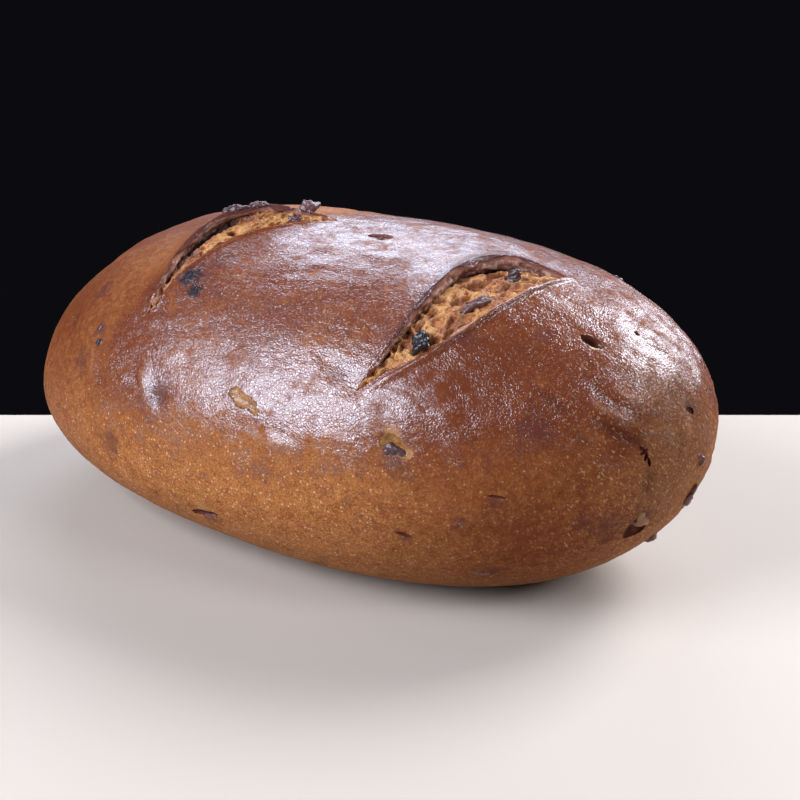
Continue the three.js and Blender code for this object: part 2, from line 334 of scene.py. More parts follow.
crust = grown(relief_tree, uneven, crust_material, RELIEF, dough)
moved = np.linalg.norm(corners(crust) - corners(dough), axis=1)
print("relief moves the crust by up to", moved.max().round(2), "mm")

# %% [markdown]
# Places on the loaf are given as a baker would point at them: so far along, and so far round from
# the top towards the front flank, about the line from tip to tip. A ray shot out from that line
# finds the crust. For the slashes, which are cut from above, a ray straight down does the same.

# %% Find places on the crust
def ray_tree(mesh):
    """A mesh that rays can be shot at."""
    return BVHTree.FromPolygons([v.co for v in mesh.vertices], [p.vertices for p in mesh.polygons])


def on_crust(rays, along, turn):
    """Point and normal of the crust, so far along in mm and turned so far from the top in degrees."""
    share = along * MM / half_length
    tips = FORM["Tip Left"], FORM["Tip Right"]
    start = Vector((along * MM, 0, (tips[0] + tips[1]) / 2 + share * (tips[1] - tips[0]) / 2))
    angle = math.radians(turn)
    point, normal, _, _ = rays.ray_cast(start, Vector((0, -math.sin(angle), math.cos(angle))))
    return point / MM, normal


def from_above(rays, x, y):
    """Point and normal of the crown below a place in plan, in mm."""
    point, normal, _, _ = rays.ray_cast(Vector((x * MM, y * MM, 2 * high.z)), Vector((0, 0, -1)))
    return np.array(point) / MM, np.array(normal)


form_rays = ray_tree(dough)
print("crown over the middle, mm:", round(from_above(form_rays, 0, 0)[0][2], 1))

# %% [markdown]
# Each slash is a blade's line in plan. It opened like an eye: on the lip's side it tore wide
# towards the back end, and on the rim's side it opened more evenly. Four numbers give those two
# edges. A hand-drawn outline would need a long list of points and would be harder to change.

# %% The slashes' lines
SLASHES = [
    # Ends in plan, bow aside and half width at the tips, in mm. Lip and rim: how far each edge
    # opens, and its skew. Rise: the ear's height, and its skew. Roll and band: the lip's rounding
    # and thickness. Then the heights of the rim's curl, of the slope that carries it and of the
    # step down to the crumb, and the cut's depth. Cave: where along and over which share the crumb
    # sank, how deep, and how far in from the lip. Toast and shade: how dark the crumb is painted
    # there, as shade under the lip.
    {"front": (-42.4, -48.4), "back": (-11.4, 2.6), "bow": -9.5, "tip": 1.5,
     "lip": (3.6, 0.9), "rim": (3.2, 0.9), "rise": 6.8, "rise_skew": 1.2, "roll": 0.9, "band": 1.3,
     "rim_rise": 0.5, "shoulder": 0.6, "rim_step": 0.1, "deep": 6.0,
     "cave": (0.36, 0.24, 4.6, 2.2), "toast_and_shade": 0.65},
    {"front": (36.6, -53.4), "back": (68.6, 2.6), "bow": 0.0, "tip": 0.6,
     "lip": (12.2, 1.75), "rim": (7.7, 0.85), "rise": 4.8, "rise_skew": 1.3, "roll": 1.2, "band": 4.4,
     "rim_rise": 1.2, "shoulder": 2.4, "rim_step": 0.2, "deep": 5.5,
     "cave": (0.72, 0.15, 3.2, 2.0), "toast_and_shade": 0.3},
]
TIP_SHARE, TIP_LEAST = 0.04, 0.1  # a slash closes to a tenth over this share of its length at each end


def wave(along, skew):
    """0 at a slash's ends and 1 at its widest; a skew above 1 moves that to the back end."""
    return np.sin(np.pi * np.clip(along, 0, 1) ** skew)


def edges(slash, along):
    """Places across a slash of the lip's edge and of the rim, in mm."""
    centre = slash["bow"] * wave(along, 1)
    tip = slash["tip"] * np.clip(np.minimum(along, 1 - along) / TIP_SHARE, TIP_LEAST, 1)
    lip, rim = (np.maximum(tip, wide * wave(along, skew)) for wide, skew in (slash["lip"], slash["rim"]))
    return centre - lip, centre + rim


def line_of(slash):
    """A slash's front end, its directions along and across in plan, and its length in mm."""
    front, back = np.array(slash["front"]), np.array(slash["back"])
    length = np.linalg.norm(back - front)
    along = (back - front) / length
    return front, along, np.array([along[1], -along[0]]), length


def to_slash(slash, x, y):
    """Shares along a slash, and distances across it, of places in plan."""
    front, along, across, length = line_of(slash)
    offset = np.stack([x, y], -1) - front
    return offset @ along / length, offset @ across


def from_slash(slash, share, aside):
    """The place in plan of a share along a slash and a distance across it."""
    front, along, across, length = line_of(slash)
    return front + share * length * along + aside * across


for slash in SLASHES:
    print("slash", round(line_of(slash)[3], 1), "mm long, opens", np.ptp(edges(slash, 0.6)).round(1), "mm")

# %% [markdown]
# Beside each slash the crust lifted into an ear with a rolled edge. The dough's faces are too wide
# for that roll, so the faces near the slashes are split first: once in a wide strip, and again
# along the edges. A finer loaf all over would do the same, but with many times the faces.

# %% Split the faces near the slashes
ZONE = {"before": -0.12, "after": 1.1, "above": 45.0}  # shares of a slash's length, and height in mm
SPLITS = [(8.0, 6.0, np.inf), (2.4, 2.6, 1.2)]  # mm outside the lip and the rim, and inside of both


def beside(slash, points):
    """Points' shares along a slash, how far they are outside its lip and its rim, and if they are near."""
    share, aside = to_slash(slash, points[:, 0], points[:, 1])
    lip, rim = edges(slash, share)
    near = (share > ZONE["before"]) & (share < ZONE["after"]) & (points[:, 2] > ZONE["above"])
    return share, lip - aside, aside - rim, near


def refine(mesh, lip_side, rim_side, inside):
    """Splits the faces near the slashes once."""
    work = bmesh.new()
    work.from_mesh(mesh)
    centres = np.array([face.calc_center_median() for face in work.faces]) / MM
    chosen = np.zeros(len(centres), bool)
    for slash in SLASHES:
        _, left, right, near = beside(slash, centres)
        edge = (left > -inside) | (right > -inside)
        chosen |= near & edge & (left < lip_side) & (right < rim_side)
    work.faces.ensure_lookup_table()
    split = {edge for i in np.flatnonzero(chosen) for edge in work.faces[i].edges}
    bmesh.ops.subdivide_edges(work, edges=list(split), cuts=1, use_grid_fill=True)
    work.to_mesh(mesh)
    work.free()
    mesh.update()


for strip in SPLITS:
    refine(crust, *strip)
print("split crust:", len(crust.polygons), "faces")

# %% [markdown]
# Rolled dough keeps its folds. Most are at the blunt end, and some lie on the crown. Each crease is
# a chain of places on the crust with a height, a ridge above the skin or a groove below it, which
# is strongest in its middle. Noise would give folds too, but not where this loaf has them. Bubbles
# just under the skin left low, dark blisters.

# %% Creases and blisters
CREASES = [
    # height and half width in mm, then places along and round
    (0.9, 1.7, [(-37.0, 68.0), (-34.0, 72.0), (-31.0, 76.5), (-26.4, 84.0)]),
    (-0.9, 3.0, [(-28.0, 74.0), (-25.0, 79.0)]),
    (0.7, 1.6, [(4.0, 80.5), (12.0, 82.5), (18.5, 82.5), (27.0, 84.0)]),
    (-1.1, 1.5, [(95.0, 62.0), (100.0, 65.5), (104.5, 70.0), (107.5, 76.0)]),
    (0.8, 1.5, [(90.0, 52.0), (96.0, 57.0), (103.0, 58.5), (109.0, 65.0)]),
    (0.6, 1.3, [(96.0, 47.0), (102.0, 49.0), (107.0, 54.0)]),
    (-0.6, 1.3, [(99.0, 52.0), (104.0, 53.5), (108.5, 59.0)]),
    (0.8, 1.2, [(92.8, 63.5), (95.6, 67.1), (98.1, 71.1), (101.3, 74.7), (104.3, 76.9)]),
    (-0.8, 1.2, [(91.0, 67.5), (94.0, 71.0), (97.0, 75.5), (100.5, 79.5)]),
    (0.8, 1.2, [(93.6, 44.0), (98.3, 44.5), (102.0, 43.0), (105.5, 41.0)]),
    (-0.7, 1.2, [(88.0, 44.0), (92.6, 47.5), (97.0, 50.5), (101.0, 50.8)]),
    (-1.0, 1.6, [(108.4, 4.0), (109.2, 14.0), (109.8, 26.0)]),
    (0.8, 1.6, [(110.2, 30.0), (110.6, 45.0), (110.8, 62.0)]),
    (-0.8, 1.6, [(108.0, 88.0), (107.0, 104.0), (105.6, 118.0)]),
    (0.7, 1.5, [(98.0, 108.0), (100.4, 120.0), (101.0, 130.0)]),
    (-0.7, 1.5, [(80.0, 55.0), (86.0, 59.0), (92.0, 64.0)]),
    (0.6, 1.5, [(-62.0, 55.0), (-58.0, 70.0), (-56.0, 78.0)]),
    (-0.7, 2.2, [(-80.0, 52.0), (-77.0, 64.0)]),
    (0.7, 1.7, [(-40.0, -70.0), (-28.0, -76.0), (-12.0, -74.0)]),
    (-0.8, 1.8, [(30.0, -66.0), (44.0, -72.0), (60.0, -70.0)]),
]
BLISTERS = [(-34.6, 41.4, 3.6), (-29.6, 46.0, 2.4), (-12.0, -60.0, 4.0)]  # along, turn, radius in mm
BLISTER_RISE, BLISTER_REACH = 0.5, 0.8  # height in mm, and half width as a share of the radius


def from_chain(points, chain):
    """Distance of points from a chain of places in mm, and 0 at its ends to 1 in its middle."""
    spots_on = [np.array(on_crust(form_rays, *place)[0]) for place in chain]
    nearest, share = np.full(len(points), np.inf), np.zeros(len(points))
    for step, (start, end) in enumerate(zip(spots_on, spots_on[1:])):
        way = end - start
        part = np.clip((points - start) @ way / (way @ way), 0, 1)
        apart = np.linalg.norm(points - start - part[:, None] * way, axis=1)
        closer = apart < nearest
        nearest[closer] = apart[closer]
        share[closer] = (step + part[closer]) / (len(spots_on) - 1)
    return nearest, np.sin(np.pi * share)


def folded(points):
    """How far the creases raise or sink points, in mm."""
    height = np.zeros(len(points))
    for most, half_wide, chain in CREASES:
        apart, middle = from_chain(points, chain)
        height += most * middle * np.exp(-(apart / half_wide) ** 2)
    return height


def blistered(points):
    """How far the blisters raise points, in mm."""
    height = np.zeros(len(points))
    for along, turn, radius in BLISTERS:
        apart = np.linalg.norm(points - np.array(on_crust(form_rays, along, turn)[0]), axis=1)
        height += BLISTER_RISE * np.exp(-(apart / (BLISTER_REACH * radius)) ** 2)
    return height


print(len(CREASES), "creases and", len(BLISTERS), "blisters")

# %% [markdown]
# Now each point is raised along its normal: most at the lip's edge, fading over the ear's reach,
# with the last millimetre rolled over. The rim across from it gets a thin raised curl, which
# catches the light as a bright line. Creases and blisters are raised in the same move. Sculpting
# would be freer, but these few sizes can be changed and tried again.

# %% Raise the ears
EAR_REACH = 19.0  # mm from the lip's edge to where the crown is level again
RIM_CREST, RIM_REACH = 0.9, 0.75  # mm from the rim to the crest of its curl, and the curl's half width
SHOULDER_REACH = 10.0  # width in mm of the slope that carries the rim
LEAST = 0.01  # mm, keeps a reach and a radius above zero where a slash closes

points, normals = corners(crust), rows_of(crust.vertex_normals, "vector")
lift = np.zeros(len(points))
for slash in SLASHES:
    share, left, right, near = beside(slash, points)
    swell = wave(share, slash["rise_skew"]) * near
    full = np.sqrt(swell)
    climb = slash["rise"] * swell * np.clip(1 - left / (EAR_REACH * full + LEAST), 0, 1) ** 2
    radius = slash["roll"] * full + LEAST
    roll = radius - np.sqrt(radius**2 - np.clip(radius - left, 0, radius) ** 2)
    away = np.clip(right, 0, None)
    curl = slash["rim_rise"] * full * np.exp(-((away - RIM_CREST) / RIM_REACH) ** 2)
    curl += slash["shoulder"] * full * np.exp(-(away / SHOULDER_REACH) ** 2)
    across = np.clip(-left / np.maximum(-left - right, LEAST), 0, 1)
    lift += np.where(left >= 0, climb - roll, (climb - roll) * (1 - across) + curl * across)
lift += blistered(points) + folded(points)
move_corners(crust, points + normals * lift[:, None])
crust_rays = ray_tree(crust)
print("ears rise", lift.max().round(1), "mm on", len(crust.polygons), "faces")

# %% [markdown]
# A slash is then really cut: a bar bent along the slash is taken away by a Boolean. Its walls are
# uneven, it runs in under the lip, and it goes deeper than the crumb that shows, so that dark
# gaps are left where the crumb tore away from the crust. Points pushed down would be simpler,
# but can't run in under a lip.

# %% Tools for a torn bar
WALL_ROUGH = [(3.2, 0.9), (1.3, 0.6), (0.6, 0.3)]  # grain and unevenness of a slash's walls, in mm
STRANDS = 2.6  # the walls tore into strands so many times as long as wide
NARROW = 4.0  # a slash narrower than this, in mm, has smoother walls


def rough(point, grain, seed):
    """Noise from -1 to 1 at a place in mm."""
    return noise.noise(Vector(point) / grain + Vector((seed, -seed, 2 * seed)))


def solid_mesh(name, verts, faces):
    """A mesh from points in metres, with its faces turned outwards."""
    mesh = bpy.data.meshes.new(name)
    mesh.from_pydata([tuple(v) for v in verts], [], faces)
    work = bmesh.new()
    work.from_mesh(mesh)
    bmesh.ops.recalc_face_normals(work, faces=work.faces)
    work.to_mesh(mesh)
    work.free()
    return mesh


def loft(rings, name):
    """A closed mesh through rings of points in mm, with its ends closed by fans."""
    count, sides = rings.shape[:2]
    ends = [rings[0].mean(0), rings[-1].mean(0)]
    verts = np.vstack([rings.reshape(-1, 3), ends]) * MM
    faces = []
    for i in range(count - 1):
        for j in range(sides):
            k = (j + 1) % sides
            faces.append((i * sides + j, i * sides + k, (i + 1) * sides + k, (i + 1) * sides + j))
    for end, row in ((count * sides, 0), (count * sides + 1, (count - 1) * sides)):
        faces += [(end, row + j, row + (j + 1) % sides) for j in range(sides)]
    return solid_mesh(name, verts, faces)


print("walls are uneven by up to", round(sum(size for _, size in WALL_ROUGH), 1), "mm")

# %% What the slashes take away
UNDERCUT, UNDERCUT_BEND = 2.6, 1.4  # mm that a slash runs in under its lip, and height of the bend
LIP_BULGE = 0.5  # mm that the lip's edge swells out over the slash
BAND_MORE, BAND_LEAST = 0.6, 0.05  # mm that the lip's cut face is thicker than its band, and at its ends
END_DEPTH = 1.2  # depth of a slash at its ends, in mm
ABOVE = 13.0  # a cutter starts this far above the crust, in mm
WALL_TOPS = {"lip": 1.0, "rim": 2.0}  # mm above the lip's edge and the rim where a wall's points start
BAR_SPAN = (0.004, 0.996)  # shares of a slash's length
BAR_STEPS = {"along": 170, "wall": 22, "floor": 8}
BAR_SEED = 3.3


def slash_point(slash, share, aside, height):
    """A place in mm along, across and above a slash."""
    point, normal = from_above(form_rays, *from_slash(slash, share, aside))
    return point + normal * height


def bar_profile(slash, share):
    """Places across and above a slash round the bar: straight at the rim, and in under the lip."""
    lip, rim = edges(slash, share)
    swell = wave(share, slash["rise_skew"])
    full = np.sqrt(swell)
    deep = END_DEPTH + slash["deep"] * full
    edge = (slash["rise"] - slash["roll"]) * swell
    band = (slash["band"] + BAND_MORE) * full + BAND_LEAST
    profile = [(lip, ABOVE)]
    for height in np.linspace(edge + WALL_TOPS["lip"], -deep, BAR_STEPS["wall"]):
        below = np.clip((edge - height) / band, 0, 1)
        under = np.clip((edge - band - height) / UNDERCUT_BEND, 0, 1)
        swollen = LIP_BULGE * full * np.sin(np.pi * below)
        profile.append((lip + swollen - UNDERCUT * swell * under**2 * (3 - 2 * under), height))
    last = profile[-1][0]
    profile += [(last + t * (rim - last), -deep) for t in np.linspace(0, 1, BAR_STEPS["floor"])[1:-1]]
    profile += [(rim, height) for height in np.linspace(-deep, WALL_TOPS["rim"], BAR_STEPS["wall"])]
    return profile + [(rim, ABOVE)]


def slash_bar(slash, seed):
    """What a slash takes away, with uneven walls."""
    rings = []
    for share in np.linspace(*BAR_SPAN, BAR_STEPS["along"]):
        wide = np.ptp(edges(slash, share))
        ring = []
        for aside, height in bar_profile(slash, share):
            spot = (share * line_of(slash)[3] / STRANDS, height, aside)
            shake = sum(size * rough(spot, grain, seed) for grain, size in WALL_ROUGH)
            ring.append(slash_point(slash, share, aside + shake * min(1, wide / NARROW), height))
        rings.append(ring)
    return loft(np.array(rings), "slash_bar")


cutters = bpy.data.collections.new("cutters")
scene.collection.children.link(cutters)
for number, slash in enumerate(SLASHES):
    bar = bpy.data.objects.new("slash_bar", slash_bar(slash, BAR_SEED + number))
    cutters.objects.link(bar)
    print("bar of", len(bar.data.polygons), "faces")

# %% [markdown]
# Burst bubbles left holes in the crust: deep slots, shallow pits and fine cracks. Each is a ragged
# egg that lies on the crust, lengthwise or twisted, and is cut away in the same step as the
# slashes. A dark spot of colour would look flat as soon as the light moves.

# %% What the holes take away
HOLES = [
    # along, turn, long, wide, deep, twist
    (86.6, 26.4, 7.4, 3.4, 3.4, 10),
    (9.7, 6.6, 7.2, 4.4, 3.4, 2),
    (51.4, 79.8, 10.0, 4.8, 1.7, -16),
    (0.6, 72.2, 5.2, 3.4, 0.7, -24),
    (2.9, 73.4, 5.8, 4.2, 0.9, -8),
    (5.2, 73.8, 5.0, 3.4, 0.9, 10),
    (7.6, 75.0, 4.2, 3.0, 0.8, -30),
    (-12.0, 107.6, 11.0, 3.4, 1.6, 20),
    (102.9, 137.6, 8.0, 7.0, 2.0, 20),
    (105.6, 77.4, 2.4, 1.5, 1.4, 40),
    (106.1, 81.2, 2.6, 1.2, 1.5, 80),
    (106.6, 86.0, 2.8, 1.0, 1.2, 110),
    (105.0, 74.6, 1.8, 1.0, 0.8, 10),
    (92.6, 6.4, 2.0, 1.4, 0.9, 0),
    (108.9, 9.3, 2.4, 1.8, 1.0, 0),
    (54.3, 105.2, 5.0, 1.3, 0.7, -20),
    (77.6, 93.9, 4.4, 1.0, 0.6, -5),
    (-38.0, -62.0, 7.5, 3.2, 1.8, 15),
    (44.0, -47.4, 6.0, 2.8, 2.0, -20),
    (12.0, -87.3, 9.0, 4.0, 1.3, 30),
    (-70.0, -100.0, 5.0, 2.2, 1.2, 60),
    (78.0, -100.0, 6.5, 2.6, 1.3, -35),
]
HOLE_DETAIL, HOLE_RAGGED, HOLE_SEED = 3, 0.38, 0.5
EGG_LUMPS = [(2, 1.0), (5, 0.4)]  # how fine an egg's lumps are, and how high as a share of its raggedness


def seat(normal, twist):
    """Turns a thing's own axes to lie lengthwise on the crust, twisted by so many degrees."""
    upright = Vector(normal)
    lengthwise = (Vector((1, 0, 0)) - upright * upright.x).normalized()
    lengthwise.rotate(Matrix.Rotation(math.radians(twist), 3, upright))
    return Matrix((lengthwise, upright.cross(lengthwise), upright)).transposed()


def egg(detail, point, normal, sizes, twist, ragged, seed):
    """A ragged egg on a place: its long side lies along the loaf, turned by the twist in degrees."""
    work = bmesh.new()
    bmesh.ops.create_icosphere(work, subdivisions=detail, radius=0.5)
    pose = seat(normal, twist)
    for vert in work.verts:
        lumps = sum(share * rough(vert.co * fine, 1.0, seed) for fine, share in EGG_LUMPS)
        shape = Vector(c * s for c, s in zip(vert.co * (1 + ragged * lumps), sizes))
        vert.co = (pose @ shape + Vector(point)) * MM
    mesh = bpy.data.meshes.new("egg")
    work.to_mesh(mesh)
    work.free()
    return mesh


for number, (along, turn, long, wide, deep, twist) in enumerate(HOLES):
    place = on_crust(crust_rays, along, turn)
    sizes = (long, wide, 2 * deep)  # the upper half cuts nothing
    tool = egg(HOLE_DETAIL, *place, sizes, twist, HOLE_RAGGED, HOLE_SEED + number)
    cutters.objects.link(bpy.data.objects.new("hole", tool))

# %% [markdown]
# One Boolean takes all of them away. Its Manifold solver is quick and keeps the crust closed, which
# the count of open edges shows. The cutters have done their work then and are removed.

# %% Cut the crust
uncut = bpy.data.objects.new("uncut", crust)
scene.collection.objects.link(uncut)
cut = uncut.modifiers.new("cut", "BOOLEAN")
cut.operation = "DIFFERENCE"
cut.solver = "MANIFOLD"
cut.operand_type = "COLLECTION"
cut.collection = cutters
carved = bpy.data.meshes.new_from_object(uncut.evaluated_get(bpy.context.evaluated_depsgraph_get()))
uncut.modifiers.remove(cut)
bpy.data.objects.remove(uncut)
for tool in list(cutters.objects):
    bpy.data.objects.remove(tool)
bpy.data.collections.remove(cutters)
carved.name = "loaf_crust"
work = bmesh.new()
work.from_mesh(carved)
open_edges = sum(not edge.is_manifold for edge in work.edges)
triangles = sum(len(face.verts) - 2 for face in work.faces)
work.free()
print("cut crust:", triangles, "triangles,", open_edges, "open edges")

# %% [markdown]
# The crust's colour depends on where it is: some parts browned most, some are dusted, onion juice
# stained spots and left others pale, a lip's edge caught the most heat, and a cut wall is darker
# than the skin above it. Painted shade darkens the blunt end, the left end, the back, the crust
# below the second slash's rim, the grooves of the creases and the deep parts of the cuts, and
# painted highlights lie on the creases' ridges and on the rims' crests. Those are stored on the
# mesh as attributes, so the material can read them and they stay put from any side. Painted
# textures would do it too, but would be a file to keep.

# %% Where the crust is marked
STAINS = [
    # along, turn, radius in mm
    (76.0, 33.8, 3.2), (83.7, 70.4, 5.0), (-28.3, 74.5, 6.0), (99.8, 118.3, 4.5), (68.6, 102.2, 2.4),
    (52.4, 85.0, 4.0), (-11.4, 108.3, 3.4), (54.3, 106.2, 2.4), (77.6, 95.9, 2.6), (-33.0, 40.0, 6.5),
    (-29.0, 33.0, 4.5), (-60.0, 62.0, 3.2), (-64.0, 71.0, 5.0), (-70.0, 47.0, 4.0), (72.0, 125.0, 3.5),
    (104.0, 133.0, 5.0), (98.8, 120.7, 5.0), (95.1, 112.3, 3.6), (98.0, 131.0, 3.0), (60.0, 45.0, 3.0),
    (-46.0, 92.0, 5.0), (30.0, 62.0, 4.0), (-38.0, -62.0, 4.5), (44.0, -47.4, 4.0), (12.0, -87.3, 5.0),
    (-74.0, -30.0, 5.0), (80.0, -60.0, 6.0), (-20.0, -110.0, 5.0), (40.0, -105.0, 6.0),
]
# Spots that stayed pale, and parts that are dusted, in the same way.
PALE = [(50.0, 76.0, 2.6), (-11.4, 105.5, 2.4), (12.0, -84.0, 1.6), (-38.0, -60.0, 1.4)]
DUSTED = [(110.0, 40.0, 13.0), (108.5, 120.0, 12.0), (104.0, 20.0, 9.0), (-100.0, -70.0, 12.0)]
GOLDEN = [(51.0, 79.6, 7.0), (4.2, 73.6, 4.0)]  # holes with a golden inside
BROWNED_AND_SHADED = [
    # along, turn and radius of the parts painted darker, and how much: partly browned in the oven, partly
    # painted shade at the blunt end, the left end, the back and below the second slash's rim
    (84.0, 110.0, 36.0, 1.0), (64.0, 58.0, 17.0, 1.0), (-84.0, 50.0, 40.0, 1.12),
    (-58.0, 6.0, 28.0, 1.05), (100.5, 69.0, 8.0, 1.2), (-74.0, 4.0, 26.0, 1.25),
    (-74.0, -70.0, 46.0, 0.95), (-10.0, -80.0, 50.0, 0.95), (55.0, -76.0, 46.0, 0.95),
    (96.0, -70.0, 34.0, 0.95),
]


def store(mesh, name, values):
    """Keeps a value for each of a mesh's points under a name."""
    mesh.attributes.new(name, "FLOAT", "POINT").data.foreach_set("value", values.astype(np.float32))


def spots(points, rows):
    """1 at the middle of each spot, falling to 0 at twice its radius."""
    most = np.zeros(len(points))
    for along, turn, radius in rows:
        centre = np.array(on_crust(crust_rays, along, turn)[0])
        most = np.maximum(most, 1 - np.linalg.norm(points - centre, axis=1) / (2 * radius))
    return np.clip(most, 0, 1)


points = corners(carved)
marks = {
    "stain": spots(points, STAINS),
    "pale": spots(points, PALE),
    "dusted": spots(points, DUSTED),
    "blister": spots(points, BLISTERS),
    "browning_and_shade": np.max([most * spots(points, [row]) for *row, most in BROWNED_AND_SHADED], axis=0),
    # crease heights, which the colour uses for painted shade in the grooves and a painted highlight on the
    # ridges
    "crease_painted_shading": folded(points),
}
for name, values in marks.items():
    print("mark", name, "reaches", values.max().round(2))

# %% Store the marks
LIP_BURN = 2.6  # how far from its edge a lip is burnt, in mm
PALE_RIMS = 1  # so many of the first holes have a pale lower rim
RIM_RING, RIM_WIDE = 1.12, 0.12  # that rim's place and half width, in half sizes of the hole
BURST_REACH = 0.7  # a hole's walls are dark up to so many of its lengths from its middle
BURST_FULL, GOLDEN_FULL = 0.15, 0.4  # depth in mm from where a hole's inside is quite dark or golden

depth = np.array([crust_rays.find_nearest(Vector(point) * MM)[3] for point in points]) / MM
burnt, rim_highlight, lower_rim, burst = np.zeros((4, len(points)))
for slash in SLASHES:
    share, left, right, near = beside(slash, points)
    full = np.sqrt(wave(share, slash["rise_skew"])) * near
    # a painted highlight along the crest of each rim's curl
    crest = np.exp(-((right - RIM_CREST) / RIM_REACH) ** 2)
    rim_highlight = np.maximum(rim_highlight, slash["rim_rise"] * full * crest)
    scorch = np.exp(-(np.clip(left, 0, None) / LIP_BURN) ** 2)
    burnt = np.maximum(burnt, full * scorch * (left > right))
for number, (along, turn, long, wide, deep, twist) in enumerate(HOLES):
    point, normal = on_crust(crust_rays, along, turn)
    offset = points - np.array(point)
    burst[np.linalg.norm(offset, axis=1) < BURST_REACH * long] = 1.0
    if number < PALE_RIMS:
        apart = offset @ np.array(seat(normal, twist)) / (long / 2, wide / 2, 2 * deep)
        ring = np.exp(-((np.linalg.norm(apart, axis=1) - RIM_RING) / RIM_WIDE) ** 2)
        lower_rim = np.maximum(lower_rim, ring * (apart[:, 1] < 0))
golden = spots(points, GOLDEN) > 0
marks.update({
    "cut_depth": depth,
    "lip_burn": burnt,
    "rim_highlight": rim_highlight,
    "lower_rim": lower_rim,
    "burst": burst * np.clip(depth / BURST_FULL, 0, 1) * ~golden,
    "golden": golden * np.clip(depth / GOLDEN_FULL, 0, 1),
})
for name, values in marks.items():
    store(carved, name, values)
print(len(marks), "marks stored, deepest cut", depth.max().round(1), "mm")

# %% [markdown]
# Crumb is bread foam. Where it tore, it shows a craggy slope that climbs from the rim to the lip.
# It starts as a fine grid over the slope with a body below, so that it is closed. Near part of the
# lip it sank into a cave, and there it gets painted shade. The cut could have made the slope too,
# but crumb and crust are two finishes, so they are two pieces.

# %% Lay the crumb
CRUMB_STEPS = {"along": 300, "across": 90}
CRUMB_SPAN = (0.01, 0.99)  # shares of a slash's length
TUCKS = {"lip": 0.3, "rim": 1.0}  # mm that the crumb runs in past the undercut and under the rim
SLOPE_POWER = 1.2  # above 1 the slope is hollow
LIP_GAP = 0.2  # least gap below the lip, in mm
CRUMB_LIFT = 0.4  # height in mm that lets the crags reach the rim
FOOT_END, FOOT_MORE = 2.0, 0.6  # how deep the body goes at the ends, and past the cut's depth, in mm
LIP_SHADE_REACH = 2.4  # how far from the lip the crumb gets painted shade, in mm


def crumb_slab(slash):
    """A closed slab in a slash's trough that stores where its face is torn and where shade is painted under
    the lip.
    """
    tops, feet, lip_shades = [], [], []
    at, spread, sinks, reach = slash["cave"]
    for share in np.linspace(*CRUMB_SPAN, CRUMB_STEPS["along"]):
        lip, rim = edges(slash, share)
        swell = wave(share, slash["rise_skew"])
        full = np.sqrt(swell)
        cave = sinks * np.exp(-((share - at) / spread) ** 2)
        start = lip - UNDERCUT * swell - TUCKS["lip"]
        for aside in np.linspace(start, rim + TUCKS["rim"], CRUMB_STEPS["across"]):
            point, normal = from_above(form_rays, *from_slash(slash, share, aside))
            inside = max(aside - lip, 0)
            climb = np.clip((rim - aside) / (rim - lip), 0, 1) ** SLOPE_POWER
            gap = (LIP_GAP + cave) * np.exp(-(inside / reach) ** 2)
            slope = (slash["rise"] * swell - slash["band"] * full) * climb
            tops.append(point + normal * (slope - (slash["rim_step"] + gap) * full + CRUMB_LIFT))
            # painted shade in the cave below the lip
            lip_shades.append(slash["toast_and_shade"] * cave / sinks * np.exp(-(inside / LIP_SHADE_REACH) ** 2))
            if len(tops) % CRUMB_STEPS["across"] < 2:  # the first and the last of a row have feet
                feet.append(point - normal * (FOOT_END + (slash["deep"] + FOOT_MORE) * full))
    rows, columns = CRUMB_STEPS["along"], CRUMB_STEPS["across"]
    count = rows * columns
    faces = []
    for i in range(rows - 1):
        row, after = i * columns, (i + 1) * columns
        faces += [(row + j, row + j + 1, after + j + 1, after + j) for j in range(columns - 1)]
        near, far = count + 2 * i, count + 2 * i + 2
        faces += [(near, far, far + 1, near + 1), (row, after, far, near),
                  (after - 1, near + 1, far + 1, after + columns - 1)]
    ends = [list(range(columns)) + [count + 1, count],
            list(range(count - 1, count - columns - 1, -1)) + [count + 2 * rows - 2, count + 2 * rows - 1]]
    mesh = solid_mesh("crumb", np.vstack([tops, feet]) * MM, faces + ends)
    store(mesh, "torn", np.repeat([1.0, 0.0], [count, 2 * rows]))
    store(mesh, "lip_shade", np.array(lip_shades + [0.0] * (2 * rows)))
    return mesh


def joined(meshes, name):
    """One mesh from several, attributes kept."""
    work = bmesh.new()
    for mesh in meshes:
        work.from_mesh(mesh)
    whole = bpy.data.meshes.new(name)
    work.to_mesh(whole)
    work.free()
    return whole


slabs = joined([crumb_slab(slash) for slash in SLASHES], "slabs")
print("slabs:", len(slabs.polygons), "faces")

# %% [markdown]
# Then a tree tears the slope into bubble walls, pulled to strands along the slash, with hollows
# between them and a few open bubbles: noise for the crags, and three layers of Voronoi cells for
# webs, cells and bubbles. Cell edges make thin walls, which noise alone can't. The hollows' depth
# is stored, so the colour can paint shade into them.

# %% Tear the crumb
TEAR = {
    "Turn": math.radians(-59.5), "Pull": 0.5, "Warp Size": 5 * MM, "Warp": 3.0 * MM,
    "Crag Size": 6 * MM, "Crag Height": 2.4 * MM,
    "Web Size": 3.0 * MM, "Web Depth": 1.9 * MM,
    "Cell Size": 1.1 * MM, "Cell Depth": 0.6 * MM,
    "Bubble Size": 4.2 * MM, "Bubble Depth": 1.8 * MM, "Seed": 2.0,
}
FOAM = [
    # layer, its Voronoi distance, where a pit starts and is deepest, its part in the stored depth
    ("Web", "DISTANCE_TO_EDGE", 0.01, 0.20, 0.8),
    ("Cell", "DISTANCE_TO_EDGE", 0.02, 0.24, 0.5),
    ("Bubble", "F1", 0.26, 0.12, 1.0),
]
tear_tree, given = geometry_tree("torn_crumb", TEAR)
value = {label: given[label] for label in TEAR}
place = add(tear_tree, "GeometryNodeInputPosition")
turn = {"Vector": place, "Angle": given["Turn"]}
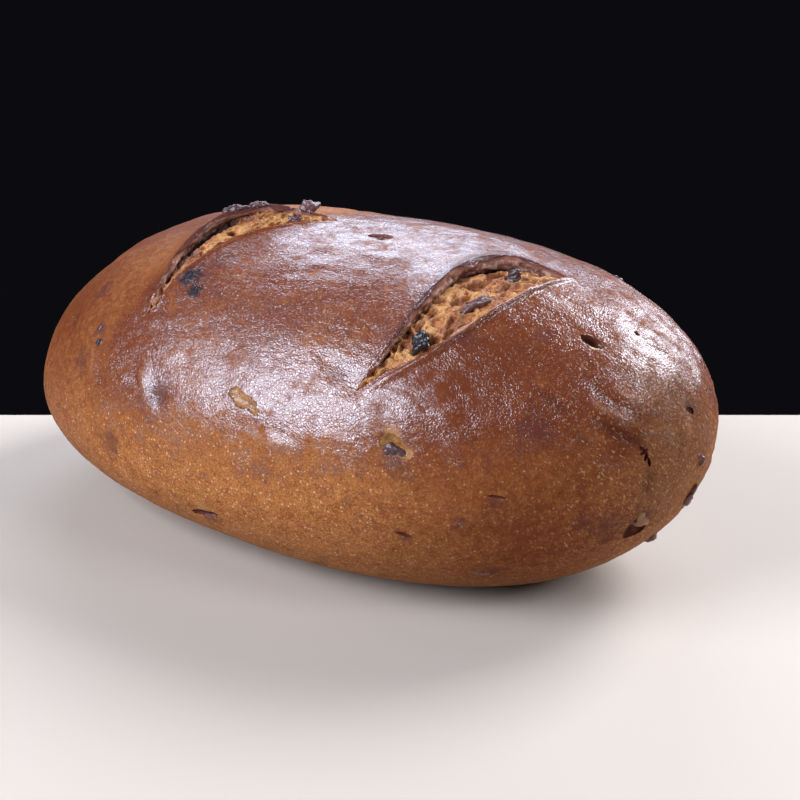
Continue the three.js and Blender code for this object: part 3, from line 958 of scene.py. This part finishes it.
turned = add(tear_tree, "ShaderNodeVectorRotate", turn, rotation_type="Z_AXIS")
pull = add(tear_tree, "ShaderNodeCombineXYZ", {0: given["Pull"], 1: 1.0, 2: 1.0})
pulled = add(tear_tree, "ShaderNodeVectorMath", {0: turned, 1: pull}, operation="MULTIPLY")
clouds = {}
for name in ("Warp", "Crag"):
    follow(tear_tree, [("often", "DIVIDE", 1.0, name + " Size")])
    cloud = {"Vector": pulled, "Scale": value["often"], "W": given["Seed"], "Detail": 4.0, "Roughness": 0.6}
    clouds[name] = add(tear_tree, "ShaderNodeTexNoise", cloud, noise_dimensions="4D").outputs
centred = {0: clouds["Warp"][1], 1: (0.5, 0.5, 0.5)}
even = add(tear_tree, "ShaderNodeVectorMath", centred, operation="SUBTRACT")
shift = add(tear_tree, "ShaderNodeVectorMath", {0: even, "Scale": given["Warp"]}, operation="SCALE")
warped = add(tear_tree, "ShaderNodeVectorMath", {0: pulled, 1: shift}, operation="ADD")
value.update({"crag": clouds["Crag"][0], "hollow": 0.0})
follow(tear_tree, [("even", "SUBTRACT", "crag", 0.5), ("swing", "MULTIPLY", "even", "Crag Height")])
for name, feature, none, full, share in FOAM:
    follow(tear_tree, [("often", "DIVIDE", 1.0, name + " Size")])
    net = {"Vector": warped, "Scale": value["often"], "Randomness": 1.0}
    far = add(tear_tree, "ShaderNodeTexVoronoi", net, feature=feature).outputs["Distance"]
    cell = add(tear_tree, "ShaderNodeTexVoronoi", net, feature="F1").outputs["Color"]
    value["lot"] = add(tear_tree, "FunctionNodeSeparateColor", {0: cell})
    pit = {"Value": far, 1: none, 2: full, 3: 0.0, 4: 1.0}
    value["pit"] = add(tear_tree, "ShaderNodeMapRange", pit, interpolation_type="SMOOTHSTEP")
    follow(tear_tree, [
        ("open", "MULTIPLY", "pit", "lot"),
        ("deep", "MULTIPLY", "open", name + " Depth"),
        ("swing", "SUBTRACT", "swing", "deep"),
        ("hollow", "MULTIPLY_ADD", "open", share, "hollow"),
    ])
torn = add(tear_tree, "GeometryNodeInputNamedAttribute", {"Name": "torn"}, data_type="FLOAT")
follow(tear_tree, [("push", "MULTIPLY", "swing", torn)])
depths = {"Geometry": given["Geometry"], "Name": "hollow", "Value": value["hollow"]}
marked = add(tear_tree, "GeometryNodeStoreNamedAttribute", depths, data_type="FLOAT")
crumb = grown(tear_tree, pushed(tear_tree, marked), crumb_material, TEAR, slabs)
print("crumb:", len(crumb.polygons), "faces")

# %% [markdown]
# Onion pieces browned as they baked: some are blue-black beads, some purple-grey scraps, some
# red-brown flakes. Each is a ragged egg, sunk into the crust or the crumb. The ones that show are
# listed one by one, and a draw with a fixed seed finishes the back in the same way. A scatter of
# instances would be quicker, but couldn't put each bit where it sits.

# %% Where the onion sits
BITS = [
    # along, turn, long, wide, thick, proud, twist, tint from blue-black 0 to red-brown 1
    (-23.1, -2.7, 5.4, 5.0, 5.6, 3.6, 20, 0.5),
    (-52.0, -3.6, 5.4, 3.8, 3.4, 1.9, 50, 0.25),
    (-59.3, 61.3, 3.8, 2.2, 2.0, 0.15, 80, 0.2),
    (-57.6, 65.4, 4.6, 2.6, 2.4, 0.2, 70, 0.1),
    (50.6, 81.6, 6.4, 4.0, 2.8, 0.1, -12, 0.3),
    (104.2, 137.0, 7.0, 6.2, 5.0, 1.0, 30, 1.0),
    (107.4, -169.6, 6.6, 3.4, 3.0, 1.4, 0, 0.75),
    (111.2, -159.3, 3.8, 2.4, 2.2, 0.8, 40, 0.9),
    (98.1, 179.4, 5.0, 3.0, 2.6, 0.9, 15, 0.85),
    (69.7, 125.4, 4.2, 2.4, 2.0, 0.4, -30, 0.8),
    (-10.5, 108.6, 5.0, 1.6, 1.6, 0.25, 24, 0.8),
    (68.6, 102.2, 2.6, 1.8, 1.4, 0.2, 20, 0.45),
]
SLASH_BITS = [
    # slash, along, across from the lip 0 to the rim 1, long, wide, thick, proud, twist, tint
    (1, 0.268, 0.66, 5.6, 5.4, 6.4, 3.4, 60, 0.0),
    (1, 0.53, 0.64, 8.0, 3.6, 3.0, 0.9, 50, 0.5),
    (1, 0.74, 0.45, 5.4, 3.4, 3.0, 1.2, 20, 0.2),
    (1, 0.367, 0.88, 3.6, 2.2, 2.2, 0.8, 55, 0.45),
    (0, 0.56, -0.12, 5.6, 2.6, 2.4, 0.9, 40, 0.3),
    (0, 0.64, -0.12, 5.0, 2.4, 2.4, 0.8, 30, 0.4),
    (0, 0.80, 0.4, 3.6, 3.0, 2.6, 1.2, 0, 0.4),
]
BACK = {
    "count": 15, "seed": 31, "span": 190, "turn": (-128, -40), "size": (3.0, 5.6), "wide": 0.72,
    "thick": 0.6, "proud": (0.3, 1.3), "twist": (0, 180), "tint": (0, 1),
}
print(len(BITS) + len(SLASH_BITS), "bits by hand,", BACK["count"], "drawn")

# %% Set the onion
BIT_DETAIL, BIT_RAGGED = 4, 0.7
BIT_SEEDS = {"crust": 0.3, "slash": 20.3, "back": 40.3}


def sunk_bit(place, long, wide, thick, proud, twist, tint, seed):
    """A ragged egg that stands so far proud of a place, with its tint stored."""
    point, normal = place
    centre = np.array(point) + np.array(normal) * (proud - thick / 2)
    mesh = egg(BIT_DETAIL, centre, normal, (long, wide, thick), twist, BIT_RAGGED, seed)
    store(mesh, "tint", np.full(len(mesh.vertices), tint))
    return mesh


crumb_rays = ray_tree(crumb)
draw = np.random.default_rng(BACK["seed"])
bits = []
for number, (along, turn, *shape) in enumerate(BITS):
    bits.append(sunk_bit(on_crust(crust_rays, along, turn), *shape, BIT_SEEDS["crust"] + number))
for number, (which, share, across, *shape) in enumerate(SLASH_BITS):
    lip, rim = edges(SLASHES[which], share)
    spot = from_slash(SLASHES[which], share, lip + across * (rim - lip))
    bed = crust_rays if across < 0 else crumb_rays
    bits.append(sunk_bit(from_above(bed, *spot), *shape, BIT_SEEDS["slash"] + number))
for number in range(BACK["count"]):
    along = BACK["span"] * ((number + 0.5) / BACK["count"] - 0.5)
    size, turn = (draw.uniform(*BACK[kind]) for kind in ("size", "turn"))
    proud, twist, tint = (draw.uniform(*BACK[kind]) for kind in ("proud", "twist", "tint"))
    shape = (size, BACK["wide"] * size, BACK["thick"] * size, proud, twist, tint)
    bits.append(sunk_bit(on_crust(crust_rays, along, turn), *shape, BIT_SEEDS["back"] + number))
print(len(bits), "bits of onion")

# %% [markdown]
# As onion dries it shrivels. A last tree pushes the eggs' skins in and out by noise, with its
# places swirled so that the folds wind as on a raisin. Bump would leave their outlines smooth.

# %% Shrivel the onion
SHRIVEL = {"Fold Size": 1.6 * MM, "Fold Depth": 0.55 * MM}
shrivel_tree, given = geometry_tree("shrivelled_onion", SHRIVEL)
value = {label: given[label] for label in SHRIVEL}
place = add(shrivel_tree, "GeometryNodeInputPosition")
follow(shrivel_tree, [("often", "DIVIDE", 1.0, "Fold Size")])
swirl = {"Vector": place, "Scale": value["often"], "Detail": 2.0, "Distortion": 1.2}
value["fold"] = add(shrivel_tree, "ShaderNodeTexNoise", swirl)
follow(shrivel_tree, [("even", "SUBTRACT", "fold", 0.5), ("push", "MULTIPLY", "even", "Fold Depth")])
wrinkled = pushed(shrivel_tree, given["Geometry"])
onion = grown(shrivel_tree, wrinkled, onion_material, SHRIVEL, joined(bits, "bits"))
print("onion:", len(bits), "pieces,", len(onion.polygons), "faces")

# %% [markdown]
# Now the finishes. The crust is a matt, grainy brown skin, and a thin glaze was brushed over its
# crown. So the skin is the shader's base, and the glaze is its coat, which mirrors the lamps in a
# scatter of white glints. One glossy material would be simpler, but its haze would lie over the
# dry parts too. All patterns are noise at their real size, drawn out lengthwise like the wrinkles,
# and the finest crinkle is drawn as coarse as it needs to show. The marks that were stored get a
# ragged edge from a noise of their own.

# %% Patterns of the crust
PATTERNS = {
    # grain in mm, detail, roughness, length
    "blotch": (22.0, 3.0, 0.55, 1.2), "patch": (7.0, 4.0, 0.6, 1.2), "mottle": (3.2, 5.0, 0.65, 1.2),
    "ragged": (2.0, 4.0, 0.65, 1.0), "grain": (0.6, 2.0, 0.6, 1.1),
    "fold": (5.5, 2.5, 0.5, 1.5), "wrinkle": (1.9, 2.0, 0.55, 1.8), "crinkle": (0.55, 1.0, 0.5, 1.2),
}
RAGGED_MARKS = (
    "stain", "pale", "dusted", "blister", "browning_and_shade",
    "lip_burn", "rim_highlight", "lower_rim", "burst", "golden",
)


def start_material(material):
    """Clears a material, and returns its tree, its shader and places on the object."""
    material.use_nodes = True
    tree = material.node_tree
    tree.nodes.clear()
    shader = add(tree, "ShaderNodeBsdfPrincipled")
    add(tree, "ShaderNodeOutputMaterial", {"Surface": shader})
    return tree, shader, add(tree, "ShaderNodeTexCoord").outputs["Object"]


tree, shader, here = start_material(crust_material)
seen = {}
for name, (grain, detail, roughness, length) in PATTERNS.items():
    often = 1 / (grain * MM)
    spot = add(tree, "ShaderNodeMapping", {"Vector": here, "Scale": (often / length, often, often)})
    cloud = {"Vector": spot, "Scale": 1.0, "Detail": detail, "Roughness": roughness}
    seen[name] = add(tree, "ShaderNodeTexNoise", cloud, label=name)
for name in RAGGED_MARKS:
    mark = add(tree, "ShaderNodeAttribute", attribute_name=name).outputs["Fac"]
    seen[name] = add(tree, "ShaderNodeMath", {0: mark, 1: seen["ragged"]}, operation="ADD", label=name)
for name in ("cut_depth", "crease_painted_shading"):
    seen[name] = add(tree, "ShaderNodeAttribute", attribute_name=name).outputs["Fac"]
whole = add(tree, "ShaderNodeMath", {0: seen["cut_depth"], 1: 1.0}, operation="MINIMUM")
seen["torn"] = add(tree, "ShaderNodeMath", {0: whole, 1: seen["ragged"]}, operation="MULTIPLY")
print(len(seen), "patterns and marks")

# %% [markdown]
# The brush came from above and missed the low flanks, the left end and the back. Dry crust is
# lighter and more golden, and it doesn't shine. So one value, how dry a place is, leads both the
# colour and the gloss. Two masks could do that, but would drift apart.

# %% Where the brush went
BRUSH = [
    # direction, where along it in mm the crust is driest and where wet, and what dryness takes away
    ((-0.10, 0.0, 1.0), 26, 56, -0.6),
    ((0.854, -0.519, 0.0), -34, -14, -0.6),
    ((-0.10, -0.99, 0.0), -66, -30, -0.4),
]
BLENDS = [
    # result, two patterns, share of the second
    ("clouded", "blotch", "mottle", 0.35),
    ("grainy", "clouded", "grain", 0.2),
    ("glazed", "patch", "mottle", 0.4),
]
SUMS = [
    # result, pattern, times, plus
    ("patchy", "glazed", 2.0, -0.26),
    ("duller", "browning_and_shade", -0.24, "patchy"),
    ("shine", "dry", 1.0, "duller"),
    ("browned", "dry", 0.9, "grainy"),
    ("tan", "dry", 0.35, "patch"),
    ("speck", "dry", -0.08, "grain"),
]
seen["dry"] = 0.0
for direction, none, full, driest in BRUSH:
    way = add(tree, "ShaderNodeVectorMath", {0: here, 1: direction}, operation="DOT_PRODUCT")
    reach = {"Value": way.outputs["Value"], 1: none * MM, 2: full * MM, 3: driest, 4: 0.0}
    missed = add(tree, "ShaderNodeMapRange", reach)
    seen["dry"] = add(tree, "ShaderNodeMath", {0: seen["dry"], 1: missed}, operation="ADD")
for name, one, other, share in BLENDS:
    seen[name] = add(tree, "ShaderNodeMix", {0: share, 2: seen[one], 3: seen[other]}, label=name)
for name, pattern, times, plus in SUMS:
    terms = {0: seen[pattern], 1: times, 2: seen.get(plus, plus)}
    seen[name] = add(tree, "ShaderNodeMath", terms, operation="MULTIPLY_ADD", label=name)
print("brushed in", len(BRUSH), "directions")

# %% [markdown]
# Some fine marks need more than noise. Light specks are Voronoi cells of random size, smaller on
# the crown. Streaks of painted sheen slant across the blunt end. The glaze cracked to a net, which
# is the distance to the edges of warped cells, and dark lines follow a broad noise like a map's
# contours.

# %% Specks, painted sheen streaks and crackle
# Specks: spacing in mm, two heights in mm, the largest speck at each as a share of the spacing.
SPECKS = {"cell": 1.0, "heights": (35, 70), "largest": (0.50, 0.24), "rareness": 2.0}
# Painted sheen streaks: size in mm, slant in degrees, from where to where along in mm they come, how faint
# before.
SHEEN_STREAKS = {"size": (0.7, 2.0, 0.55), "slant": -50, "from": 72, "full": 100, "least": -0.12}
# Crackle: cells and their drift in mm, and a crack's width as a share of a cell.
CRACKLE = {"cell": 0.8, "drift": 2.0, "drift_grain": 2.4, "wide": 0.3}
LINES = {"apart": 0.09, "wide": 0.022}  # in values of the noise that they follow

place = add(tree, "ShaderNodeSeparateXYZ", {0: here}).outputs
dots = add(tree, "ShaderNodeTexVoronoi", {"Vector": here, "Scale": 1 / (SPECKS["cell"] * MM)})
lot = add(tree, "ShaderNodeSeparateColor", {0: dots.outputs["Color"]})
rarely = add(tree, "ShaderNodeMath", {0: lot, 1: SPECKS["rareness"]}, operation="POWER")
(lower, upper), (large, small) = SPECKS["heights"], SPECKS["largest"]
fewer = {"Value": place["Z"], 1: lower * MM, 2: upper * MM, 3: large, 4: small}
largest = add(tree, "ShaderNodeMapRange", fewer)
size = add(tree, "ShaderNodeMath", {0: rarely, 1: largest}, operation="MULTIPLY")
inside = {0: size, 1: dots.outputs["Distance"]}
seen["dot"] = add(tree, "ShaderNodeMath", inside, operation="SUBTRACT", label="dot")

slant = (math.radians(SHEEN_STREAKS["slant"]), 0, 0)
drawn = {"Vector": here, "Rotation": slant, "Scale": [size * MM for size in SHEEN_STREAKS["size"]]}
slanted = add(tree, "ShaderNodeMapping", drawn, vector_type="TEXTURE")
stroke = add(tree, "ShaderNodeTexNoise", {"Vector": slanted, "Scale": 1.0, "Detail": 1.0})
blunt = {"Value": place["X"], 1: SHEEN_STREAKS["from"] * MM, 2: SHEEN_STREAKS["full"] * MM, 3: SHEEN_STREAKS["least"], 4: 0.0}
weaker = add(tree, "ShaderNodeMapRange", blunt)
seen["sheen_streak"] = add(tree, "ShaderNodeMath", {0: stroke, 1: weaker}, operation="ADD", label="sheen_streak")

cloud = {"Vector": here, "Scale": 1 / (CRACKLE["drift_grain"] * MM), "Detail": 2.0}
drift = add(tree, "ShaderNodeTexNoise", cloud).outputs["Color"]
shift = {0: drift, 1: (CRACKLE["drift"] * MM,) * 3, 2: here}
shaken = add(tree, "ShaderNodeVectorMath", shift, operation="MULTIPLY_ADD")
net = {"Vector": shaken, "Scale": 1 / (CRACKLE["cell"] * MM)}
crack = add(tree, "ShaderNodeTexVoronoi", net, feature="DISTANCE_TO_EDGE").outputs["Distance"]
contour = add(tree, "ShaderNodeMath", {0: seen["fold"], 1: LINES["apart"]}, operation="PINGPONG")
for name, far, wide in (("craze", crack, CRACKLE["wide"]), ("line", contour, LINES["wide"])):
    near = {"Value": far, 1: 0.0, 2: wide}
    seen[name] = add(tree, "ShaderNodeMapRange", near, interpolation_type="SMOOTHSTEP", label=name)
print(len(seen), "patterns for the crust")

# %% [markdown]
# The colour goes on in coats over a golden brown, from broad to small: red brown where the oven
# browned it most, lighter and darker patches, fine marks, stored marks, and last walls and holes.
# Each coat is as strong as its pattern says there, so one table holds them all. A colour ramp
# would be simpler, but follows only one pattern.

# %% Crust colours
CRUST_BASE = "#aa6d36"
COATS = [
    # colour, pattern, where it starts, where it is full, how much of it
    ("#6a3318", "browned", 0.10, 0.48, 1.0),
    ("#a0673c", "tan", 0.40, 0.22, 0.7),
    ("#662c18", "patch", 0.50, 0.68, 0.5),
    ("#4c2216", "mottle", 0.52, 0.74, 0.55),
    ("#86664a", "dusted", 0.6, 1.3, 0.55),
    ("#562a18", "grain", 0.50, 0.32, 0.35),
    ("#4e2420", "line", 0.6, 0.0, 0.4),
    ("#4a201c", "craze", 0.5, 0.0, 0.35),
    ("#b8885c", "speck", 0.56, 0.74, 0.5),
    ("#cc9e74", "dot", 0.03, 0.12, 0.65),
    # darker crust, partly oven browning and partly painted shade on the ends, the back and below the second
    # slash's rim
    ("#5e2c15", "browning_and_shade", 0.7, 1.5, 0.9),
    # painted shade in the creases' grooves, and a painted highlight on their ridges
    ("#401e16", "crease_painted_shading", -0.12, -0.75, 0.65),
    ("#b08262", "crease_painted_shading", 0.25, 0.85, 0.4),
    # painted sheen: pale streaks slanting across the blunt end
    ("#b8906c", "sheen_streak", 0.60, 0.74, 0.6),
    ("#4c2826", "stain", 0.9, 1.3, 0.55),
    ("#14151d", "blister", 0.85, 1.2, 0.92),
    ("#4a2a2a", "lip_burn", 0.8, 1.3, 0.85),
    # painted highlight on the rim's crest
    ("#c09a80", "rim_highlight", 0.9, 1.5, 0.6),
    ("#986a5a", "cut_depth", 0.1, 0.45, 1.0),
    ("#5e2e22", "cut_depth", 0.9, 1.9, 0.7),
    ("#ccaa94", "torn", 0.46, 0.60, 0.8),
    # painted shade deep in the cuts, darkest where they are deepest
    ("#3c1812", "cut_depth", 2.6, 4.6, 1.0),
    ("#966c46", "pale", 0.95, 1.2, 0.8),
    ("#4e2014", "burst", 0.7, 1.2, 0.9),
    ("#9a6e3e", "golden", 0.75, 1.3, 0.95),
    ("#4a2818", "golden", 1.42, 1.7, 0.85),
    ("#d8c8a8", "lower_rim", 0.8, 1.2, 0.9),
]


def coated(tree, base, coats, seen):
    """A base colour under coats, each as strong as its pattern says."""
    colour = linear(base)
    for over, pattern, none, full, most in coats:
        share = {"Value": seen[pattern], 1: none, 2: full, 3: 0.0, 4: most}
        blend = {0: add(tree, "ShaderNodeMapRange", share), 6: colour, 7: linear(over)}
        colour = add(tree, "ShaderNodeMix", blend, data_type="RGBA").outputs[2]
    return colour


crust_colour = coated(tree, CRUST_BASE, COATS, seen)
print(len(COATS), "coats on the crust")

# %% [markdown]
# The skin's grain and the glaze's crinkle are finer than the mesh, so they are bump, with a stack of
# its own for each layer. Bread and glaze both have an IOR of about 1.5. The dry skin is porous and
# mirrors less than that, and the glaze got more, so that its glints stay as bright as they look on
# the loaf. The glaze is thin in its cracks and on cut walls, and taut over blisters.

# %% Crust relief and gloss
BUMPS = {
    # pattern, strength, height in mm
    "Normal": [("grain", 0.7, 0.14), ("wrinkle", 0.5, 0.35), ("line", 0.4, 0.06)],
    "Coat Normal": [
        ("crinkle", 0.7, 0.10), ("craze", 0.8, 0.05), ("wrinkle", 0.5, 0.42), ("line", 0.4, 0.06),
    ],
}
GLAZE = [
    # how it joins, pattern, two of its values, and the share of the glaze at each
    ("MULTIPLY", "shine", 0.28, 0.62, 0.0, 1.0),
    ("MULTIPLY", "craze", 0.0, 0.5, 0.45, 1.0),
    ("MULTIPLY", "cut_depth", 0.1, 0.5, 1.0, 0.5),
    ("MAXIMUM", "blister", 0.85, 1.2, 0.0, 0.2),
]
for socket, layers in BUMPS.items():
    below = {}
    for name, strength, height in layers:
        relief = {"Height": seen[name], "Strength": strength, "Distance": height * MM, **below}
        below = {"Normal": add(tree, "ShaderNodeBump", relief)}
    feed(tree, shader, {socket: below["Normal"]})
glaze = 1.0
for operation, pattern, start, end, first, last in GLAZE:
    share = {"Value": seen[pattern], 1: start, 2: end, 3: first, 4: last}
    kept = add(tree, "ShaderNodeMapRange", share)
    glaze = add(tree, "ShaderNodeMath", {0: glaze, 1: kept}, operation=operation)
feed(tree, shader, {"Base Color": crust_colour, "Roughness": 0.6, "IOR": 1.15})
feed(tree, shader, {"Coat Weight": glaze, "Coat Roughness": 0.19, "Coat IOR": 1.9})
print(crust_material.name, len(tree.nodes), "nodes")

# %% [markdown]
# Torn crumb is matt and soft to the eye. Its bubble walls stand out pale, and its hollows get
# painted shade, darker the deeper they are, which the stored depth tells. Patches were toasted
# more than others, and the cave below the lip gets painted shade. Fine foam is bump, because the
# mesh is too coarse for it.

# %% Torn crumb
CRUMB_BASE = "#b8884c"
CRUMB_COATS = [
    # colour, pattern, where it starts, where it is full, how much of it
    # painted shade in the crumb's hollows, darker the deeper they are
    ("#aa6a36", "hollow", 0.05, 0.42, 1.0),
    ("#4c2410", "hollow", 0.42, 1.05, 0.95),
    # random toast patches, and painted shade in the cave below the lip
    ("#7c4022", "toast_and_shade", 0.45, 0.62, 0.8),
    ("#34160f", "toast_and_shade", 0.70, 1.05, 0.95),
    ("#dcbc90", "foam", 0.58, 0.78, 0.45),
]
TOAST_GRAIN, FOAM_GRAIN, FOAM_RISE = 4 * MM, 0.6 * MM, 0.3 * MM
tree, shader, here = start_material(crumb_material)
cloud = {"Vector": here, "Scale": 1 / TOAST_GRAIN, "Detail": 4.0}
patches = add(tree, "ShaderNodeTexNoise", cloud)
foam = {"Vector": here, "Scale": 1 / FOAM_GRAIN, "Detail": 3.0}
seen = {
    "hollow": add(tree, "ShaderNodeAttribute", attribute_name="hollow").outputs["Fac"],
    "foam": add(tree, "ShaderNodeTexNoise", foam),
}
lip_shade = add(tree, "ShaderNodeAttribute", attribute_name="lip_shade").outputs["Fac"]
seen["toast_and_shade"] = add(tree, "ShaderNodeMath", {0: patches, 1: lip_shade}, operation="ADD")
bump = add(tree, "ShaderNodeBump", {"Height": seen["foam"], "Strength": 0.8, "Distance": FOAM_RISE})
crumb_colour = coated(tree, CRUMB_BASE, CRUMB_COATS, seen)
feed(tree, shader, {"Base Color": crumb_colour, "Normal": bump, "Roughness": 0.55})
print(crumb_material.name, len(tree.nodes), "nodes")

# %% [markdown]
# Browned onion is dark and leathery with a dull gloss, and fine pale veins run over it. Its tint
# differs from piece to piece and is read from the attribute stored when the piece was made, so
# that one material serves the beads, the scraps and the flakes.

# %% Browned onion
ONION_BASE = "#14161c"
ONION_COATS = [
    # colour, pattern, where it starts, where it is full, how much of it
    ("#5e4040", "tint", 0.0, 0.5, 1.0),
    ("#5e3022", "tint", 0.5, 0.9, 1.0),
    ("#7e5434", "tint", 0.94, 1.0, 1.0),
    ("#a08878", "vein", 0.58, 0.75, 0.35),
]
VEIN_GRAIN, VEIN_RISE = 1.1 * MM, 0.3 * MM
tree, shader, here = start_material(onion_material)
vein = {"Vector": here, "Scale": 1 / VEIN_GRAIN, "Detail": 3.0}
seen = {
    "tint": add(tree, "ShaderNodeAttribute", attribute_name="tint").outputs["Fac"],
    "vein": add(tree, "ShaderNodeTexNoise", vein),
}
bump = add(tree, "ShaderNodeBump", {"Height": seen["vein"], "Strength": 0.8, "Distance": VEIN_RISE})
onion_colour = coated(tree, ONION_BASE, ONION_COATS, seen)
feed(tree, shader, {"Base Color": onion_colour, "Normal": bump, "Roughness": 0.32})
print(onion_material.name, len(tree.nodes), "nodes")

# %% [markdown]
# The pieces take the solid's place: the crust stands for the loaf, and the crumb and the onion sit
# in it. Shading is smooth, with sharp edges only where a cut meets the skin.

# %% Put the pieces on the frame
SHARP_ANGLE = math.radians(62)  # faces that meet more sharply than this keep a hard edge
for name, mesh, material, slot in (
    ("loaf_crust", carved, crust_material, "crust"),
    ("loaf_crumb", crumb, crumb_material, "crumb"),
    ("onion_bits", onion, onion_material, "onion"),
):
    mesh.materials.clear()
    mesh.materials.append(material)
    mesh.shade_smooth()
    mesh.set_sharp_from_angle(angle=SHARP_ANGLE)
    piece = bpy.data.objects.new(name, mesh)
    scene.collection.objects.link(piece)
    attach(piece, "root")
    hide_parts("loaf")
    print(name, len(mesh.vertices), "points")

# %% [markdown]
# The studio: a pale table and a dark room. The table ends close behind the loaf, where the view
# runs on into the dark, and reaches far to the front and the sides. A bright room would be
# simpler, but would wash out the sheen on the crust.

# %% Table
VIEW_YAW, VIEW_TILT, VIEW_DISTANCE = 36.81, 21.5, 650.9  # degrees, degrees, mm
TABLE = {"behind": 0.075, "before": 3.0, "aside": 3.0}  # metres from the loaf's middle


def towards(yaw, tilt):
    """The direction of a place seen from the loaf: yaw from the front towards +X, tilt from level."""
    yaw, tilt = math.radians(yaw), math.radians(tilt)
    return Vector((math.sin(yaw) * math.cos(tilt), -math.cos(yaw) * math.cos(tilt), math.sin(tilt)))


forward, sideways = towards(VIEW_YAW, 0), towards(VIEW_YAW + 90, 0)
near, far = forward * TABLE["before"], -forward * TABLE["behind"]
left, right = -sideways * TABLE["aside"], sideways * TABLE["aside"]
table_mesh = bpy.data.meshes.new("table")
table_mesh.from_pydata([far + left, near + left, near + right, far + right], [], [(0, 1, 2, 3)])
table_material = bpy.data.materials.new("pale_table")
tree, shader, _ = start_material(table_material)
feed(tree, shader, {"Base Color": linear("#b6aea0"), "Roughness": 0.95})
table_mesh.materials.append(table_material)
table = bpy.data.objects.new("table", table_mesh)
scene.collection.objects.link(table)
print("table faces", tuple(round(c) for c in table_mesh.polygons[0].normal))

# %% [markdown]
# The sheen on a glossy loaf is the mirror image of the lamps, so each lamp stands where the mirrored
# view ray from a bright patch points. A window behind the loaf and a lamp behind on the right give
# the crown its sheen, and a long low one edges the far side. A small window on the right shapes the
# blunt end. A wide lamp at the front left lights the flank, and a weak window keeps the left end
# from going black. One large lamp would be easier, but would draw only one patch of sheen.

# %% Lamps
TARGET = Vector((0, 0, 50)) * MM
LAMPS = [
    # name, yaw, tilt, distance in m, width in m, height in m, watts, colour
    ("back_window", -140, 27, 1.5, 0.90, 0.75, 17, "#d8e6ff"),
    ("back_right_lamp", 160, 42, 1.3, 0.66, 0.56, 25, "#f2f2ff"),
    ("right_window", 92, 34, 1.3, 0.44, 0.36, 6, "#f0f2ff"),
    ("low_back_lamp", 174, 12, 1.3, 0.96, 0.30, 9, "#f2f2ff"),
    ("front_left_lamp", -26, 30, 1.3, 0.98, 0.86, 34, "#e8ecff"),
    ("left_window", -72, 44, 1.3, 0.50, 0.40, 1.0, "#e8ecff"),
]
for name, yaw, tilt, distance, wide, tall, watts, hue in LAMPS:
    lamp = bpy.data.lights.new(name, "AREA")
    lamp.shape, lamp.energy = "RECTANGLE", watts
    lamp.size, lamp.size_y = wide, tall
    lamp.color = linear(hue)[:3]
    stand = bpy.data.objects.new(name, lamp)
    stand.location = TARGET + towards(yaw, tilt) * distance
    stand.rotation_euler = towards(yaw, tilt).to_track_quat("Z", "Y").to_euler()
    scene.collection.objects.link(stand)
room = bpy.data.worlds.new("dark_room")
room.use_nodes = True
room.node_tree.nodes["Background"].inputs["Color"].default_value = linear("#0c0c10")
scene.world = room
print(len(LAMPS), "lamps")

# %% [markdown]
# The camera looks down a little, from the front right, through a long lens. The view transform is
# plain sRGB, so a colour that was picked on screen comes back on screen.

# %% Camera
LENS = {"focal": 99, "film": 36, "shift": (0.042, -0.052)}  # mm, mm, shares of the film
lens = bpy.data.cameras.new("camera")
lens.lens, lens.sensor_width = LENS["focal"], LENS["film"]
lens.shift_x, lens.shift_y = LENS["shift"]
camera = bpy.data.objects.new("camera", lens)
camera.location = TARGET + towards(VIEW_YAW, VIEW_TILT) * VIEW_DISTANCE * MM
camera.rotation_euler = towards(VIEW_YAW, VIEW_TILT).to_track_quat("Z", "Y").to_euler()
scene.collection.objects.link(camera)
scene.camera = camera
scene.view_settings.view_transform = "Standard"
print("camera at mm", [round(c / MM) for c in camera.location])
